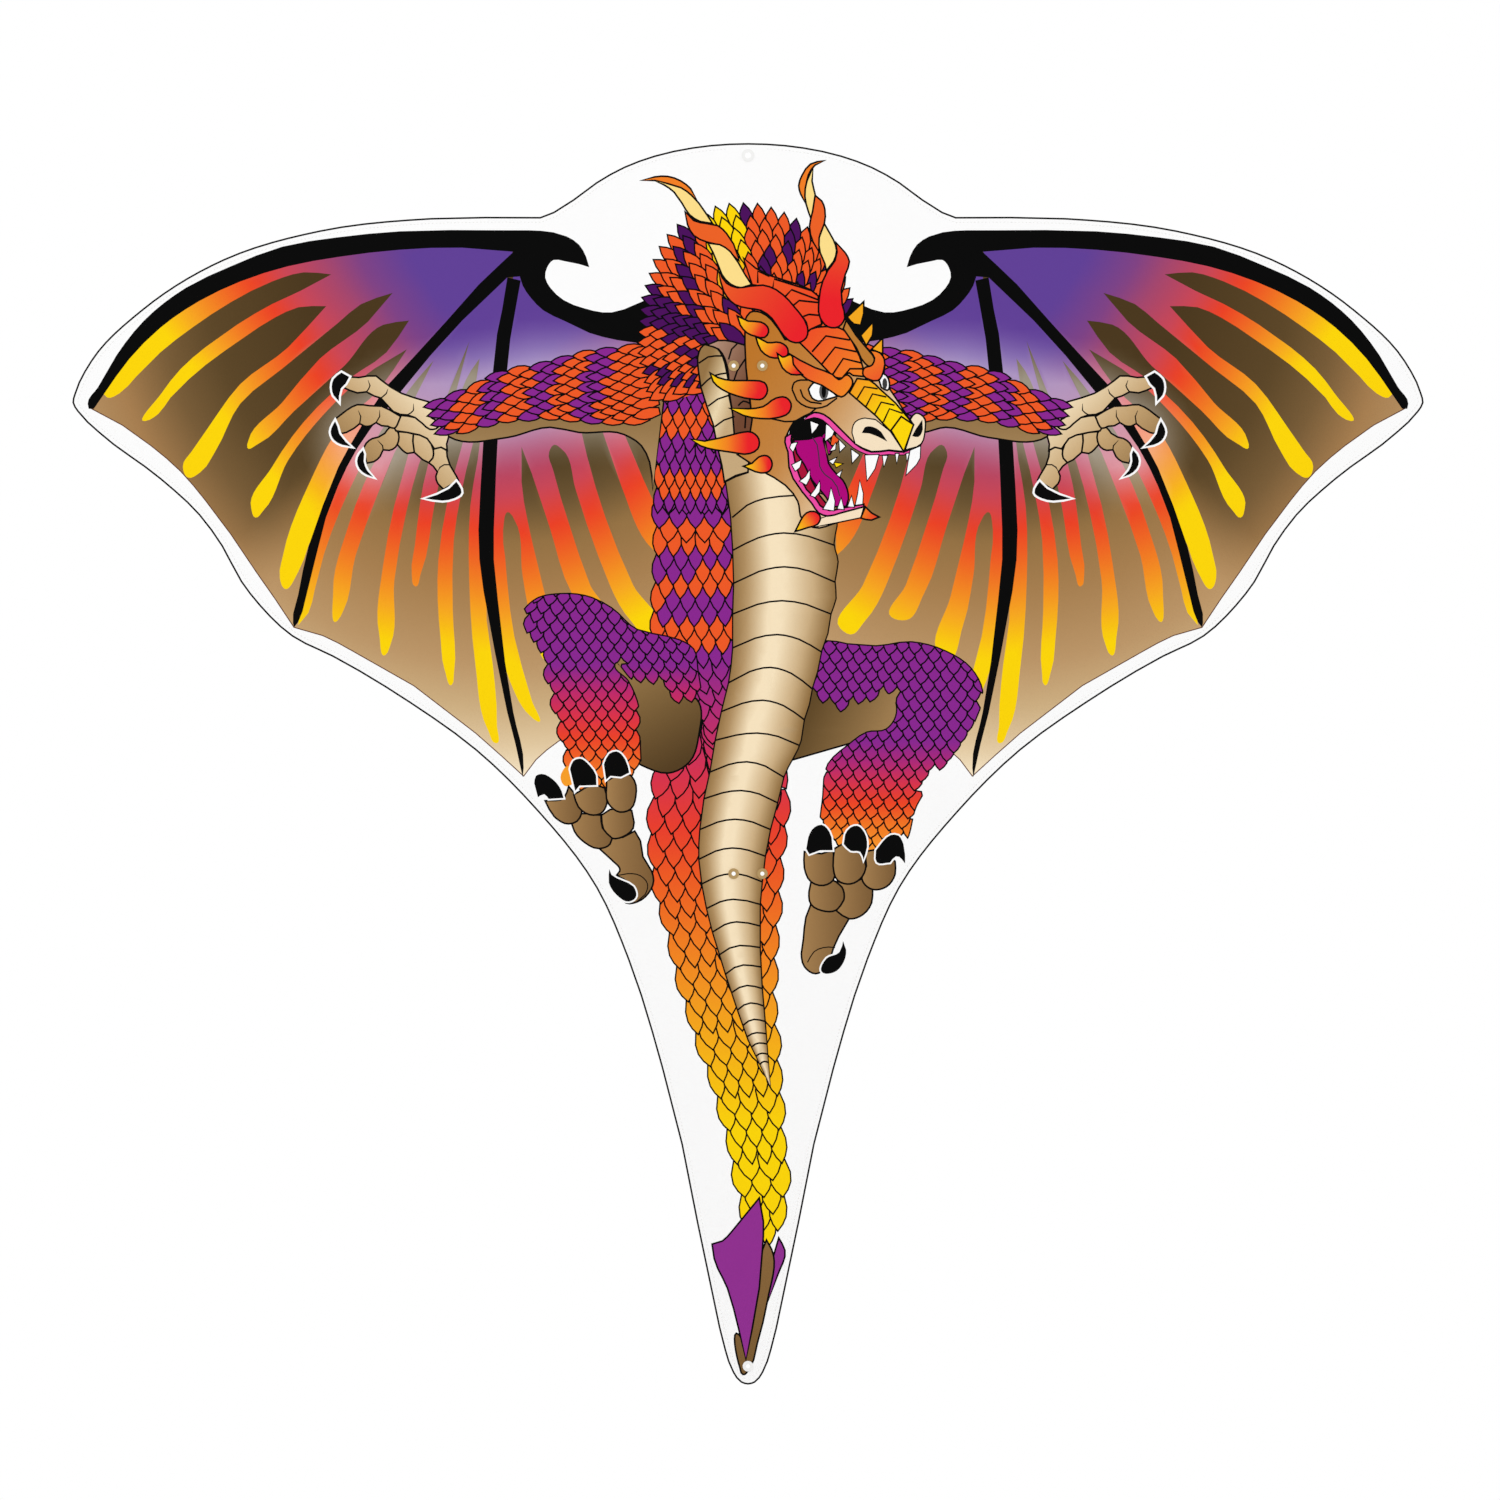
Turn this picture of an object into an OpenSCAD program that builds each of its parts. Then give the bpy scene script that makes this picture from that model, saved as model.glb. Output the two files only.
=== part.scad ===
// Figure delta kite, standing in the XZ plane: printed face towards -Y, nose up,
// frame behind the sail. Origin at the nose eyelet's centre, on the sail's front face.

/* [Sail] */
// Width of the sail from wing tip to wing tip
span = 1320; // [1260:20:1380]
// Thickness of the cloth with its coating
cloth = 0.8; // [0.6:0.1:1]
// Half width of the centre panel, out to the fold lines
fold_x = 22; // [21:0.5:24]
// Angle that each wing leans back from the centre panel
dihedral = 4; // [0:0.5:5]
// Width of the tape bound round the sail's edge
binding_w = 5; // [4:0.5:6]
// Thickness of that tape and of the reinforcing patches
tape = 0.5; // [0.4:0.1:0.6]

/* [Spine] */
// Outside diameter of the spine and spreader tubes
tube_d = 6; // [5:0.5:6]
// Wall of those tubes
tube_wall = 1; // [0.8:0.1:1.2]
// Height of the joint between the two halves of the spine, below the nose eyelet
spine_split = 620; // [560:10:660]
// Length of the ferrule that joins them
ferrule_l = 60; // [50:5:70]
// Wall of the ferrules, clips and end caps
fitting_wall = 1.2; // [1:0.1:1.3]

/* [Wings] */
// Diameter of the leading edge rods
rod_d = 4; // [3.5:0.5:4.5]
// Bend radius of the outer part of a leading edge rod
rod_bend = 380; // [370:5:390]
// Angle round that bend at which the spreader meets the rod
spread_a = 36; // [34:1:38]
// Angle round that bend at which the rod ends
rod_end_a = 50.5; // [49:0.5:51]
// Distance from the sail's front face to the spreader's axis
spread_y = 15.5; // [15:0.5:18]

/* [Eyelets] */
// Bore radius of the nose eyelet
nose_bore = 3; // [2.5:0.5:3.5]
// Bore radius of the tail and bridle eyelets
small_bore = 2; // [1.5:0.5:2]
// Height of the upper bridle eyelets, below the nose eyelet
bridle_top = 205; // [195:5:230]
// Height of the lower bridle eyelets, below the nose eyelet
bridle_low = 700; // [680:10:760]

/* [Hidden] */
$fn = 48;

k = span / 1320;      // every place on the sail grows with the span
gap = 0.15;           // half of the slit between a wing and the centre panel
snug = 0.05;          // radial room of a tube in its ferrule or cap
loose = 0.3;          // radial room of a rod in its cloth sleeve
sleeve_t = 0.8;       // cloth of a sleeve, two layers
tube_r = tube_d / 2;
rod_r = rod_d / 2;
far = 2000;           // larger than the kite, for cutting planes

// Sail edge on the right half, as smooth stretches between corners: [x, z]
dome = [[-54, 8], [0, 12], [54, 8], [91, 0], [121, -11], [148, -26], [171, -43], [190, -55], [203, -60]];
leading = [[203, -60], [310, -61], [418, -73], [512, -101], [592, -150], [642, -200], [658, -232]];
tip = [[658, -232], [660, -241], [655, -250], [635, -270]];
trailing = [
    [635, -270], [574, -316], [536, -351], [514, -381], [495, -416], [477, -439],
    [445, -469], [405, -489], [330, -534], [266, -580], [205, -640], [148, -714],
    [117, -784], [84, -890], [65, -964], [50, -1040], [33, -1121], [23, -1164],
    [15, -1186], [7, -1196], [0, -1198], [-7, -1196]
];
steps = 3;            // straight pieces between two of the points above

function spline(a, b, c, d, t) =
    0.5 * (2 * b + (c - a) * t + (2 * a - 5 * b + 4 * c - d) * t * t + (3 * b - a - 3 * c + d) * t * t * t);
function smooth(p) = [
    for (i = [0 : len(p) - 2], s = [0 : steps - 1])
        let (a = p[max(i - 1, 0)], d = p[min(i + 2, len(p) - 1)])
        spline(a, p[i], p[i + 1], d, s / steps)
];
function half_edge() = [
    for (q = concat(smooth(dome), smooth(leading), smooth(tip), smooth(trailing)))
        if (q[0] > 0.5) k * q
];
function unit(v) = v / norm(v);
// The edge moved inwards by w, on the right half
function inset(p, w) = [
    for (i = [0 : len(p) - 1])
        let (v = unit(p[min(i + 1, len(p) - 1)] - p[max(i - 1, 0)]))
        p[i] + w * [v[1], -v[0]]
];
edge = half_edge();
nose_top = 12 * k;
tail_end = -1198 * k;

// Frame lines
rod_z = -83 * k;                      // straight part of a leading edge rod
bend_x = 340 * k;                     // where its bend starts
bend_r = rod_bend * k;
rod_y = cloth + sleeve_t + loose + rod_r + 0.2;
root_x = 44 * k;                      // inner end of the rod
spread_x = bend_x + bend_r * sin(spread_a);
spread_z = rod_z - bend_r * (1 - cos(spread_a));
cap_r = tube_r + fitting_wall;
spine_y = cloth + tape + cap_r + 0.1;
// Seam allowance under the spine sleeve, which the sleeve's tube sinks into
seam_t = spine_y - cloth - tube_r - loose - sleeve_t + 0.3;
spine_top = -24 * k;
spine_foot = -1162 * k;
rod_cap_r = rod_r + fitting_wall;
ferrule_r = tube_r + fitting_wall;
cap_l = 14;                           // length of every end cap
floor_t = 2;                          // closed end of every cap and pocket
clip_l = 24;                          // length of the clips along the spreader
clip_half_a = 2;                      // half of the clip's grip, in degrees of the bend
// Where the spreader's two lines cross, behind the spine
cross_y = spread_y * cos(dihedral) - (fold_x - spread_y * sin(dihedral)) * tan(dihedral);

// Flat piece in the plane of the sail, from y0 back through thickness t
module plate(y0, t) {
    translate([0, y0 + t, 0]) rotate([90, 0, 0]) linear_extrude(t) children();
}
// What is drawn flat on the right wing, leant back about the fold line
module on_wing() {
    translate([fold_x, 0, 0]) rotate([0, 0, dihedral]) translate([-fold_x, 0, 0]) children();
}
module other_side() {
    mirror([1, 0, 0]) children();
}
module right_of(x) {
    translate([x, -far]) square([far, 2 * far]);
}
module behind(y) {
    translate([-far / 2, y, -far]) cube([far, far, 2 * far]);
}
// Bar of radius r round the rod's bend, between two angles from its start
module bent_bar(r, a0, a1) {
    translate([bend_x, rod_y, rod_z - bend_r])
        rotate([90, 0, 0])
        rotate([0, 0, 90 - a1])
        rotate_extrude(angle = a1 - a0, $fn = 180)
        translate([bend_r, 0])
        circle(r = r, $fn = 48);
}
// Bar of radius r along the rod's straight part
module level_bar(r, x0, x1) {
    translate([x0, rod_y, rod_z]) rotate([0, 90, 0]) cylinder(r = r, h = x1 - x0);
}
// Bar of radius r along the spine, from z0 up to z1
module upright_bar(r, z0, z1) {
    translate([0, spine_y, z0]) cylinder(r = r, h = z1 - z0);
}
// Bar of radius r along the right half of the spreader, measured from the crossing
module spreader_bar(r, s0, s1) {
    translate([0, cross_y, spread_z])
        rotate([0, 0, dihedral])
        translate([s0, 0, 0])
        rotate([0, 90, 0])
        cylinder(r = r, h = s1 - s0);
}
// Distance from the crossing to a point of the wing at x
function along_spreader(x) = x - fold_x + (fold_x - spread_y * sin(dihedral)) / cos(dihedral);
spread_end = along_spreader(spread_x) + clip_l / 2 + cap_l + 2;

// ---- sail ----
// Both halves of a right-hand edge, from the nose round to the nose again
function both_sides(p) = concat(p, [for (i = [len(p) - 1 : -1 : 0]) [-p[i][0], p[i][1]]]);
module whole_sail() {
    polygon(concat([[0, nose_top]], both_sides(concat(edge, [[1, tail_end]]))));
}
module binding_band() {
    difference() {
        whole_sail();
        polygon(both_sides(inset(edge, binding_w)));
    }
}
module centre_strip() {
    translate([gap - fold_x, -far]) square([2 * (fold_x - gap), 2 * far]);
}
module eyelet_hole(x, z, r) {
    translate([x, z]) circle(r = r);
}
function collar_r(bore) = bore + 0.6;
module centre_panel() {
    color("wheat") plate(0, cloth) difference() {
        intersection() {
            whole_sail();
            centre_strip();
        }
        eyelet_hole(0, 0, collar_r(nose_bore));
        eyelet_hole(0, tail_eye_z, collar_r(small_bore));
        for (x = [-bridle_x, bridle_x], z = [-bridle_top, -bridle_low])
            eyelet_hole(x, z, collar_r(small_bore));
    }
}
module centre_binding() {
    color("white") plate(cloth, tape) intersection() {
        binding_band();
        centre_strip();
    }
}
module right_wing_panel() {
    color("mediumpurple") on_wing() plate(0, cloth) intersection() {
        whole_sail();
        right_of(fold_x + gap);
    }
}
module left_wing_panel() {
    other_side() right_wing_panel();
}
module right_binding() {
    color("white") on_wing() plate(cloth, tape) intersection() {
        binding_band();
        right_of(fold_x + gap);
    }
}
module left_binding() {
    other_side() right_binding();
}

// ---- patches, eyelets ----
tail_eye_z = -1180 * k;
bridle_x = 14;
flange_w = 2.6;       // how far an eyelet's flange reaches past its collar
flange_t = 0.7;
module nose_patch() {
    color("whitesmoke") plate(cloth, tape) difference() {
        translate([-17, -46]) square([34, 51]);
        eyelet_hole(0, 0, collar_r(nose_bore));
    }
}
module tail_patch() {
    color("whitesmoke") plate(cloth, tape) difference() {
        polygon([
            [-12, tail_eye_z + 54], [12, tail_eye_z + 54], [12, tail_eye_z + 10],
            [5, tail_eye_z - 8], [-5, tail_eye_z - 8], [-12, tail_eye_z + 10]
        ]);
        eyelet_hole(0, tail_eye_z, collar_r(small_bore));
    }
}
// Rolled eyelet through the sail and what backs it, of thickness under
module eyelet(x, z, bore, under) {
    translate([x, 0, z]) rotate([-90, 0, 0]) difference() {
        union() {
            translate([0, 0, -flange_t]) cylinder(r = collar_r(bore) + flange_w, h = flange_t);
            cylinder(r = collar_r(bore), h = under);
            translate([0, 0, under]) cylinder(r = collar_r(bore) + flange_w, h = flange_t);
        }
        translate([0, 0, -2 * flange_t]) cylinder(r = bore, h = under + 4 * flange_t);
    }
}
module nose_eyelet() {
    color("gold") eyelet(0, 0, nose_bore, cloth + tape);
}
module tail_eyelet() {
    color("gold") eyelet(0, tail_eye_z, small_bore, cloth + tape);
}
module bridle_eyelets() {
    color("gold")
        for (x = [-bridle_x, bridle_x], z = [-bridle_top, -bridle_low])
            eyelet(x, z, small_bore, cloth);
}

// ---- spine ----
tube_bore = tube_r - tube_wall;
module spine_upper() {
    color("dimgray") difference() {
        upright_bar(tube_r, -spine_split, spine_top);
        upright_bar(tube_bore, -spine_split - 1, spine_top + 1);
    }
}
module spine_lower() {
    color("dimgray") difference() {
        upright_bar(tube_r, spine_foot, -spine_split);
        upright_bar(tube_bore, spine_foot - 1, -spine_split + 1);
    }
}
module spine_ferrule() {
    color("silver") difference() {
        upright_bar(ferrule_r, -spine_split - ferrule_l / 2, -spine_split + ferrule_l / 2);
        upright_bar(tube_r + snug, -spine_split - ferrule_l, -spine_split + ferrule_l);
    }
}
module nose_cap() {
    color("black") difference() {
        upright_bar(cap_r, spine_top - cap_l + floor_t, spine_top + floor_t);
        upright_bar(tube_r + snug, spine_top - cap_l, spine_top);
    }
}
module tail_cap() {
    color("black") difference() {
        upright_bar(cap_r, spine_foot - floor_t, spine_foot + cap_l - floor_t);
        upright_bar(tube_r + snug, spine_foot, spine_foot + cap_l);
    }
}
pocket_l = 26;        // how far a pocket covers the end of its spar
pocket_t = 0.8;       // its cloth
wing_pocket_a = 3.3;  // the same cover at the rod's tip, in degrees of the bend
// Cloth pocket over one end of the spine, flat against the patch
module spine_pocket(z0, z1, hole0, hole1) {
    seam = cap_r + 7;
    difference() {
        intersection() {
            union() {
                upright_bar(cap_r + snug + pocket_t, z0, z1);
                translate([-seam, cloth + tape, z0]) cube([2 * seam, pocket_t, z1 - z0]);
            }
            behind(cloth + tape);
        }
        upright_bar(cap_r + snug, hole0, hole1);
    }
}
module nose_pocket() {
    top = spine_top + floor_t + floor_t;
    color("white") spine_pocket(top - pocket_l, top, top - 2 * pocket_l, spine_top + floor_t);
}
module tail_pocket() {
    foot = spine_foot - floor_t - floor_t;
    color("white") spine_pocket(foot, foot + pocket_l, spine_foot - floor_t, foot + 2 * pocket_l);
}
// Cloth sleeve sewn to the back of the centre panel, round the spine
module spine_sleeve(z0, z1) {
    seam = 8.5;
    color("white") difference() {
        union() {
            upright_bar(tube_r + loose + sleeve_t, z0, z1);
            translate([-seam, cloth, z0]) cube([2 * seam, seam_t, z1 - z0]);
        }
        upright_bar(tube_r + loose, z0 - 1, z1 + 1);
    }
}
window = 22;          // bare spine each side of the saddle
module nose_sleeve() {
    spine_sleeve(spread_z + window, -54 * k);
}
module upper_sleeve() {
    spine_sleeve(-spine_split + ferrule_l / 2 + 6, spread_z - window);
}
module lower_sleeve() {
    spine_sleeve(-1108 * k, -spine_split - ferrule_l / 2 - 6);
}
// Trough for a bar of radius r along X, open to the back
module trough(r, y, l) {
    translate([-l / 2, y, 0]) rotate([0, 90, 0]) cylinder(r = r, h = l);
    translate([-l / 2, y, -r]) cube([l, far, 2 * r]);
}
lip = 1.5;            // how far a clip's cheeks reach past the middle of the bar
module spine_saddle() {
    slot = ferrule_r + gap;
    half = clip_l / 2;
    color("black") difference() {
        union() {
            intersection() {
                upright_bar(tube_r + 1.6, spread_z - half, spread_z + half);
                behind(cloth);
            }
            translate([-half, spine_y, spread_z - slot - fitting_wall])
                cube([clip_l, cross_y + lip - spine_y, 2 * (slot + fitting_wall)]);
        }
        upright_bar(tube_r + snug, spread_z - far, spread_z + far);
        translate([0, 0, spread_z]) trough(slot, cross_y, 3 * clip_l);
    }
}

// ---- spreader ----
ferrule_arm = 46;     // length of each arm of the bent ferrule
stop = 2;             // solid middle of the ferrule, each side
module right_spreader() {
    color("dimgray") difference() {
        spreader_bar(tube_r, stop, spread_end);
        spreader_bar(tube_bore, stop - 1, spread_end + 1);
    }
}
module left_spreader() {
    other_side() right_spreader();
}
module spreader_ferrule() {
    color("silver") difference() {
        union() {
            translate([0, cross_y, spread_z]) sphere(r = ferrule_r);
            spreader_bar(ferrule_r, 0, ferrule_arm);
            other_side() spreader_bar(ferrule_r, 0, ferrule_arm);
        }
        spreader_bar(tube_r + snug, stop, 2 * ferrule_arm);
        other_side() spreader_bar(tube_r + snug, stop, 2 * ferrule_arm);
    }
}
module right_spreader_cap() {
    color("black") difference() {
        spreader_bar(cap_r, spread_end - cap_l + floor_t, spread_end + floor_t);
        spreader_bar(tube_r + snug, spread_end - cap_l, spread_end);
    }
}
module left_spreader_cap() {
    other_side() right_spreader_cap();
}

// ---- wing frame ----
module right_inner_rod() {
    color("dimgray") on_wing() level_bar(rod_r, root_x, bend_x);
}
module left_inner_rod() {
    other_side() right_inner_rod();
}
module right_outer_rod() {
    color("dimgray") on_wing() bent_bar(rod_r, 0, rod_end_a);
}
module left_outer_rod() {
    other_side() right_outer_rod();
}
rod_ferrule_in = 16;  // grip of the rod ferrule on the straight rod
rod_ferrule_out = 12; // grip on the bent one, where its bore is flared
flare = rod_ferrule_out * rod_ferrule_out / (2 * bend_r);
module right_rod_ferrule() {
    color("silver") on_wing() difference() {
        level_bar(rod_r + fitting_wall, bend_x - rod_ferrule_in, bend_x + rod_ferrule_out);
        level_bar(rod_r + snug, bend_x - far, bend_x + far);
        level_bar(rod_r + snug + flare, bend_x, bend_x + far);
    }
}
module left_rod_ferrule() {
    other_side() right_rod_ferrule();
}
sleeve_r = rod_r + loose + sleeve_t;
cap_a = 2.1;          // an end cap's length, in degrees of the bend
cap_floor_a = 0.3;    // its closed end
sleeve_gap_a = 3.2;   // from the spreader clip's middle to either sleeve
module right_inner_sleeve() {
    color("white") on_wing() difference() {
        level_bar(sleeve_r, root_x + pocket_l, bend_x - rod_ferrule_in - 1);
        level_bar(rod_r + loose, root_x, bend_x);
    }
}
module left_inner_sleeve() {
    other_side() right_inner_sleeve();
}
module right_middle_sleeve() {
    color("white") on_wing() difference() {
        bent_bar(sleeve_r, 2, spread_a - sleeve_gap_a);
        bent_bar(rod_r + loose, 0, spread_a);
    }
}
module left_middle_sleeve() {
    other_side() right_middle_sleeve();
}
module right_outer_sleeve() {
    color("white") on_wing() difference() {
        bent_bar(sleeve_r, spread_a + sleeve_gap_a, rod_end_a - wing_pocket_a);
        bent_bar(rod_r + loose, spread_a, rod_end_a);
    }
}
module left_outer_sleeve() {
    other_side() right_outer_sleeve();
}
module right_root_cap() {
    color("black") on_wing() difference() {
        level_bar(rod_cap_r, root_x - floor_t, root_x + cap_l - floor_t);
        level_bar(rod_r + snug, root_x, root_x + cap_l);
    }
}
module left_root_cap() {
    other_side() right_root_cap();
}
module right_tip_cap() {
    color("black") on_wing() difference() {
        bent_bar(rod_cap_r, rod_end_a + cap_floor_a - cap_a, rod_end_a + cap_floor_a);
        bent_bar(rod_r + snug, rod_end_a - cap_a, rod_end_a);
    }
}
module left_tip_cap() {
    other_side() right_tip_cap();
}
rod_pocket_r = rod_cap_r + snug + pocket_t;
module right_root_pocket() {
    x0 = root_x - 2 * floor_t;
    color("white") on_wing() difference() {
        intersection() {
            union() {
                level_bar(rod_pocket_r, x0, root_x + pocket_l - floor_t);
                translate([x0, cloth, rod_z - 11]) cube([root_x + pocket_l - floor_t - x0, pocket_t, 22]);
            }
            behind(cloth);
        }
        level_bar(rod_cap_r + snug, root_x - floor_t, root_x + 2 * pocket_l);
    }
}
module left_root_pocket() {
    other_side() right_root_pocket();
}
module right_tip_pocket() {
    a0 = rod_end_a - wing_pocket_a + 0.2;
    a1 = rod_end_a + 2.5 * cap_floor_a;
    color("white") on_wing() difference() {
        intersection() {
            union() {
                bent_bar(rod_pocket_r, a0, a1);
                translate([bend_x, cloth + pocket_t, rod_z - bend_r])
                    rotate([90, 0, 0])
                    rotate([0, 0, 90 - a1])
                    rotate_extrude(angle = a1 - a0, $fn = 180)
                    translate([bend_r - 9, 0])
                    square([18, pocket_t]);
            }
            behind(cloth);
        }
        bent_bar(rod_cap_r + snug, rod_end_a - 2 * wing_pocket_a, rod_end_a + cap_floor_a);
    }
}
module left_tip_pocket() {
    other_side() right_tip_pocket();
}
module right_spreader_clip() {
    slot = tube_r + gap;
    half = clip_l / 2;
    color("black") on_wing() difference() {
        union() {
            intersection() {
                bent_bar(rod_r + 2, spread_a - clip_half_a, spread_a + clip_half_a);
                behind(cloth);
            }
            translate([spread_x - half, rod_y, spread_z - slot - fitting_wall])
                cube([clip_l, spread_y + lip - rod_y, 2 * (slot + fitting_wall)]);
        }
        bent_bar(rod_r + snug, spread_a - 3 * clip_half_a, spread_a + 3 * clip_half_a);
        translate([spread_x, 0, spread_z]) trough(slot, spread_y, 3 * clip_l);
    }
}
module left_spreader_clip() {
    other_side() right_spreader_clip();
}

centre_panel();
centre_binding();
nose_patch();
tail_patch();
nose_eyelet();
tail_eyelet();
bridle_eyelets();
spine_upper();
spine_lower();
spine_ferrule();
nose_cap();
tail_cap();
nose_pocket();
tail_pocket();
nose_sleeve();
upper_sleeve();
lower_sleeve();
spine_saddle();
right_spreader();
left_spreader();
spreader_ferrule();
right_spreader_cap();
left_spreader_cap();
right_wing_panel();
right_binding();
right_inner_rod();
right_outer_rod();
right_rod_ferrule();
right_inner_sleeve();
right_middle_sleeve();
right_outer_sleeve();
right_root_pocket();
right_tip_pocket();
right_root_cap();
right_tip_cap();
right_spreader_clip();
left_wing_panel();
left_binding();
left_inner_rod();
left_outer_rod();
left_rod_ferrule();
left_inner_sleeve();
left_middle_sleeve();
left_outer_sleeve();
left_root_pocket();
left_tip_pocket();
left_root_cap();
left_tip_cap();
left_spreader_clip();
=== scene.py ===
import math

import bmesh
import bpy
import numpy as np
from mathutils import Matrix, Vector
from mathutils.geometry import delaunay_2d_cdt


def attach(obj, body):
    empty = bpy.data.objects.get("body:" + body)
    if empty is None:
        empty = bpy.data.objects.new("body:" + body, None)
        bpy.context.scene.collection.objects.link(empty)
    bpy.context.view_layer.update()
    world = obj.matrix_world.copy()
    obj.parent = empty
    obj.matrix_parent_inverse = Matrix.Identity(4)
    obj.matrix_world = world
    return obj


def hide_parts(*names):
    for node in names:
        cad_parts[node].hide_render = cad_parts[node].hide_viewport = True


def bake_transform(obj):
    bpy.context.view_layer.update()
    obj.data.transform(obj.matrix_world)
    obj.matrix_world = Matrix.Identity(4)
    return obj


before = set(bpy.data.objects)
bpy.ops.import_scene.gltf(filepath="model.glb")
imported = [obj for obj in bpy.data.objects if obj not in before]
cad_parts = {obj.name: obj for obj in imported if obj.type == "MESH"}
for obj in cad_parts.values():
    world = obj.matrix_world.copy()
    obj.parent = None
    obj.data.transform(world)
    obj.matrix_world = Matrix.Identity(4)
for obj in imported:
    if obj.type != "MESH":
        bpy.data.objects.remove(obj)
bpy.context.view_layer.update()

# Everything flat is drawn in millimetres as (x, z), measured from the nose eyelet, and put on the sail
# at the end. A third value of 1 in a point list marks a sharp corner.

black = (0, 0, 0)
white = (255, 255, 255)


def curve(points, closed=True, detail=4.0):
    # smooth line through the points, with one-sided tangents at the corners
    xy = np.array([p[:2] for p in points], float)
    n = len(xy)
    sharp = [len(p) > 2 or (not closed and i in (0, n - 1)) for i, p in enumerate(points)]
    ahead, behind = np.roll(xy, -1, 0) - xy, xy - np.roll(xy, 1, 0)
    longA = np.maximum(np.linalg.norm(ahead, axis=1), 1e-6)[:, None]
    longB = np.maximum(np.linalg.norm(behind, axis=1), 1e-6)[:, None]
    tangent = ahead / longA * longB + behind / longB * longA
    tangent /= np.maximum(np.linalg.norm(tangent, axis=1), 1e-9)[:, None]
    out = []
    for i in range(n if closed else n - 1):
        j = (i + 1) % n
        chord = xy[j] - xy[i]
        length = max(float(np.linalg.norm(chord)), 1e-6)
        along = chord / length
        a = along if sharp[i] else tangent[i]
        b = along if sharp[j] else tangent[j]
        turn = math.acos(np.clip(a @ along, -1, 1)) + math.acos(np.clip(b @ along, -1, 1))
        steps = 1 + int(min(7, turn * length / detail + 0.6 * turn))
        for s in range(steps):
            t = s / steps
            out.append(
                (2 * t**3 - 3 * t**2 + 1) * xy[i] + (t**3 - 2 * t**2 + t) * length * a
                + (3 * t**2 - 2 * t**3) * xy[j] + (t**3 - t**2) * length * b
            )
    if not closed:
        out.append(xy[-1])
    return np.array(out)


def inset(loop, by):
    # moves every side of a closed loop inwards
    side = np.roll(loop, -1, 0) - loop
    keep = np.linalg.norm(side, axis=1) > 1e-4
    loop = loop[keep]
    side = np.roll(loop, -1, 0) - loop
    side /= np.linalg.norm(side, axis=1)[:, None]
    x, z = loop[:, 0], loop[:, 1]
    sign = 1 if (x * np.roll(z, -1) - np.roll(x, -1) * z).sum() > 0 else -1
    normal = np.stack([-side[:, 1], side[:, 0]], 1) * sign
    middle = normal + np.roll(normal, 1, 0)
    middle /= np.maximum(np.linalg.norm(middle, axis=1), 1e-6)[:, None]
    reach = by / np.maximum((middle * normal).sum(1), 0.4)
    return loop + middle * reach[:, None]


def mirrored(points):
    return [(-p[0], *p[1:]) for p in points]


def even(line, count):
    # count points at equal distances along an open line
    step = np.linalg.norm(np.diff(line, axis=0), axis=1)
    run = np.concatenate([[0], np.cumsum(step)])
    at = np.linspace(0, run[-1], count)
    return np.stack([np.interp(at, run, line[:, 0]), np.interp(at, run, line[:, 1])], 1)


def inside(loops, p):
    odd = np.zeros(len(p), bool)
    for loop in loops:
        a, b = loop, np.roll(loop, -1, 0)
        step = max(1, 4000000 // len(a))
        for s in range(0, len(p), step):
            x, z = p[s:s + step, 0][:, None], p[s:s + step, 1][:, None]
            crosses = (a[:, 1] > z) != (b[:, 1] > z)
            rise = np.where(b[:, 1] == a[:, 1], 1e-9, b[:, 1] - a[:, 1])
            at = a[:, 0] + (z - a[:, 1]) * (b[:, 0] - a[:, 0]) / rise
            odd[s:s + step] ^= (crosses & (x < at)).sum(1) % 2 == 1
    return odd


# inks: each takes points and gives 0-255 colours


def plain(colour):
    return lambda p: np.tile(np.array(colour, float), (len(p), 1))


def ramp(t, stops):
    at = [s[0] for s in stops]
    return np.stack([np.interp(t, at, [s[1][k] for s in stops]) for k in range(3)], 1)


def byHeight(stops):
    # stops run upwards
    return lambda p: ramp(p[:, 1], stops)


def between(a, b, stops):
    a, b = np.array(a, float), np.array(b, float)
    return lambda p: ramp((p - a) @ (b - a) / ((b - a) @ (b - a)), stops)


def bySpan(left, right, stops):
    # across a strip: 0 on its left edge, 1 on its right edge
    def paint(p):
        a = np.interp(-p[:, 1], -left[:, 1], left[:, 0])
        b = np.interp(-p[:, 1], -right[:, 1], right[:, 0])
        return ramp((p[:, 0] - a) / np.maximum(b - a, 1), stops)
    return paint


# the print: a list of (loops, ink, within), later ones cover earlier ones

artwork = []


def lay(loops, ink, within=None):
    # within keeps the ink inside any of these loops
    artwork.append((loops, ink, within))


def shape(points, ink, line=1.8, lineInk=plain(black), smooth=True):
    loop = curve(points) if smooth else np.array([p[:2] for p in points], float)
    if line:
        lay([inset(loop, -line / 2)], lineInk)
        loop = inset(loop, line / 2)
    lay([loop], ink)


def stroke(points, width=1.3, ends=(1, 1), ink=plain(black), smooth=True):
    # a line of the given width, thinned towards its ends
    straight = not smooth or len(points) < 3
    line = np.array([p[:2] for p in points], float) if straight else curve(points, closed=False)
    along = np.gradient(line, axis=0)
    along /= np.maximum(np.linalg.norm(along, axis=1), 1e-6)[:, None]
    normal = np.stack([-along[:, 1], along[:, 0]], 1)
    t = np.linspace(0, 1, len(line))
    half = width / 2 * np.interp(t, [0, 0.3, 0.7, 1], [ends[0], 1, 1, ends[1]])
    lay([np.concatenate([line + normal * half[:, None], (line - normal * half[:, None])[::-1]])], ink)


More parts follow.
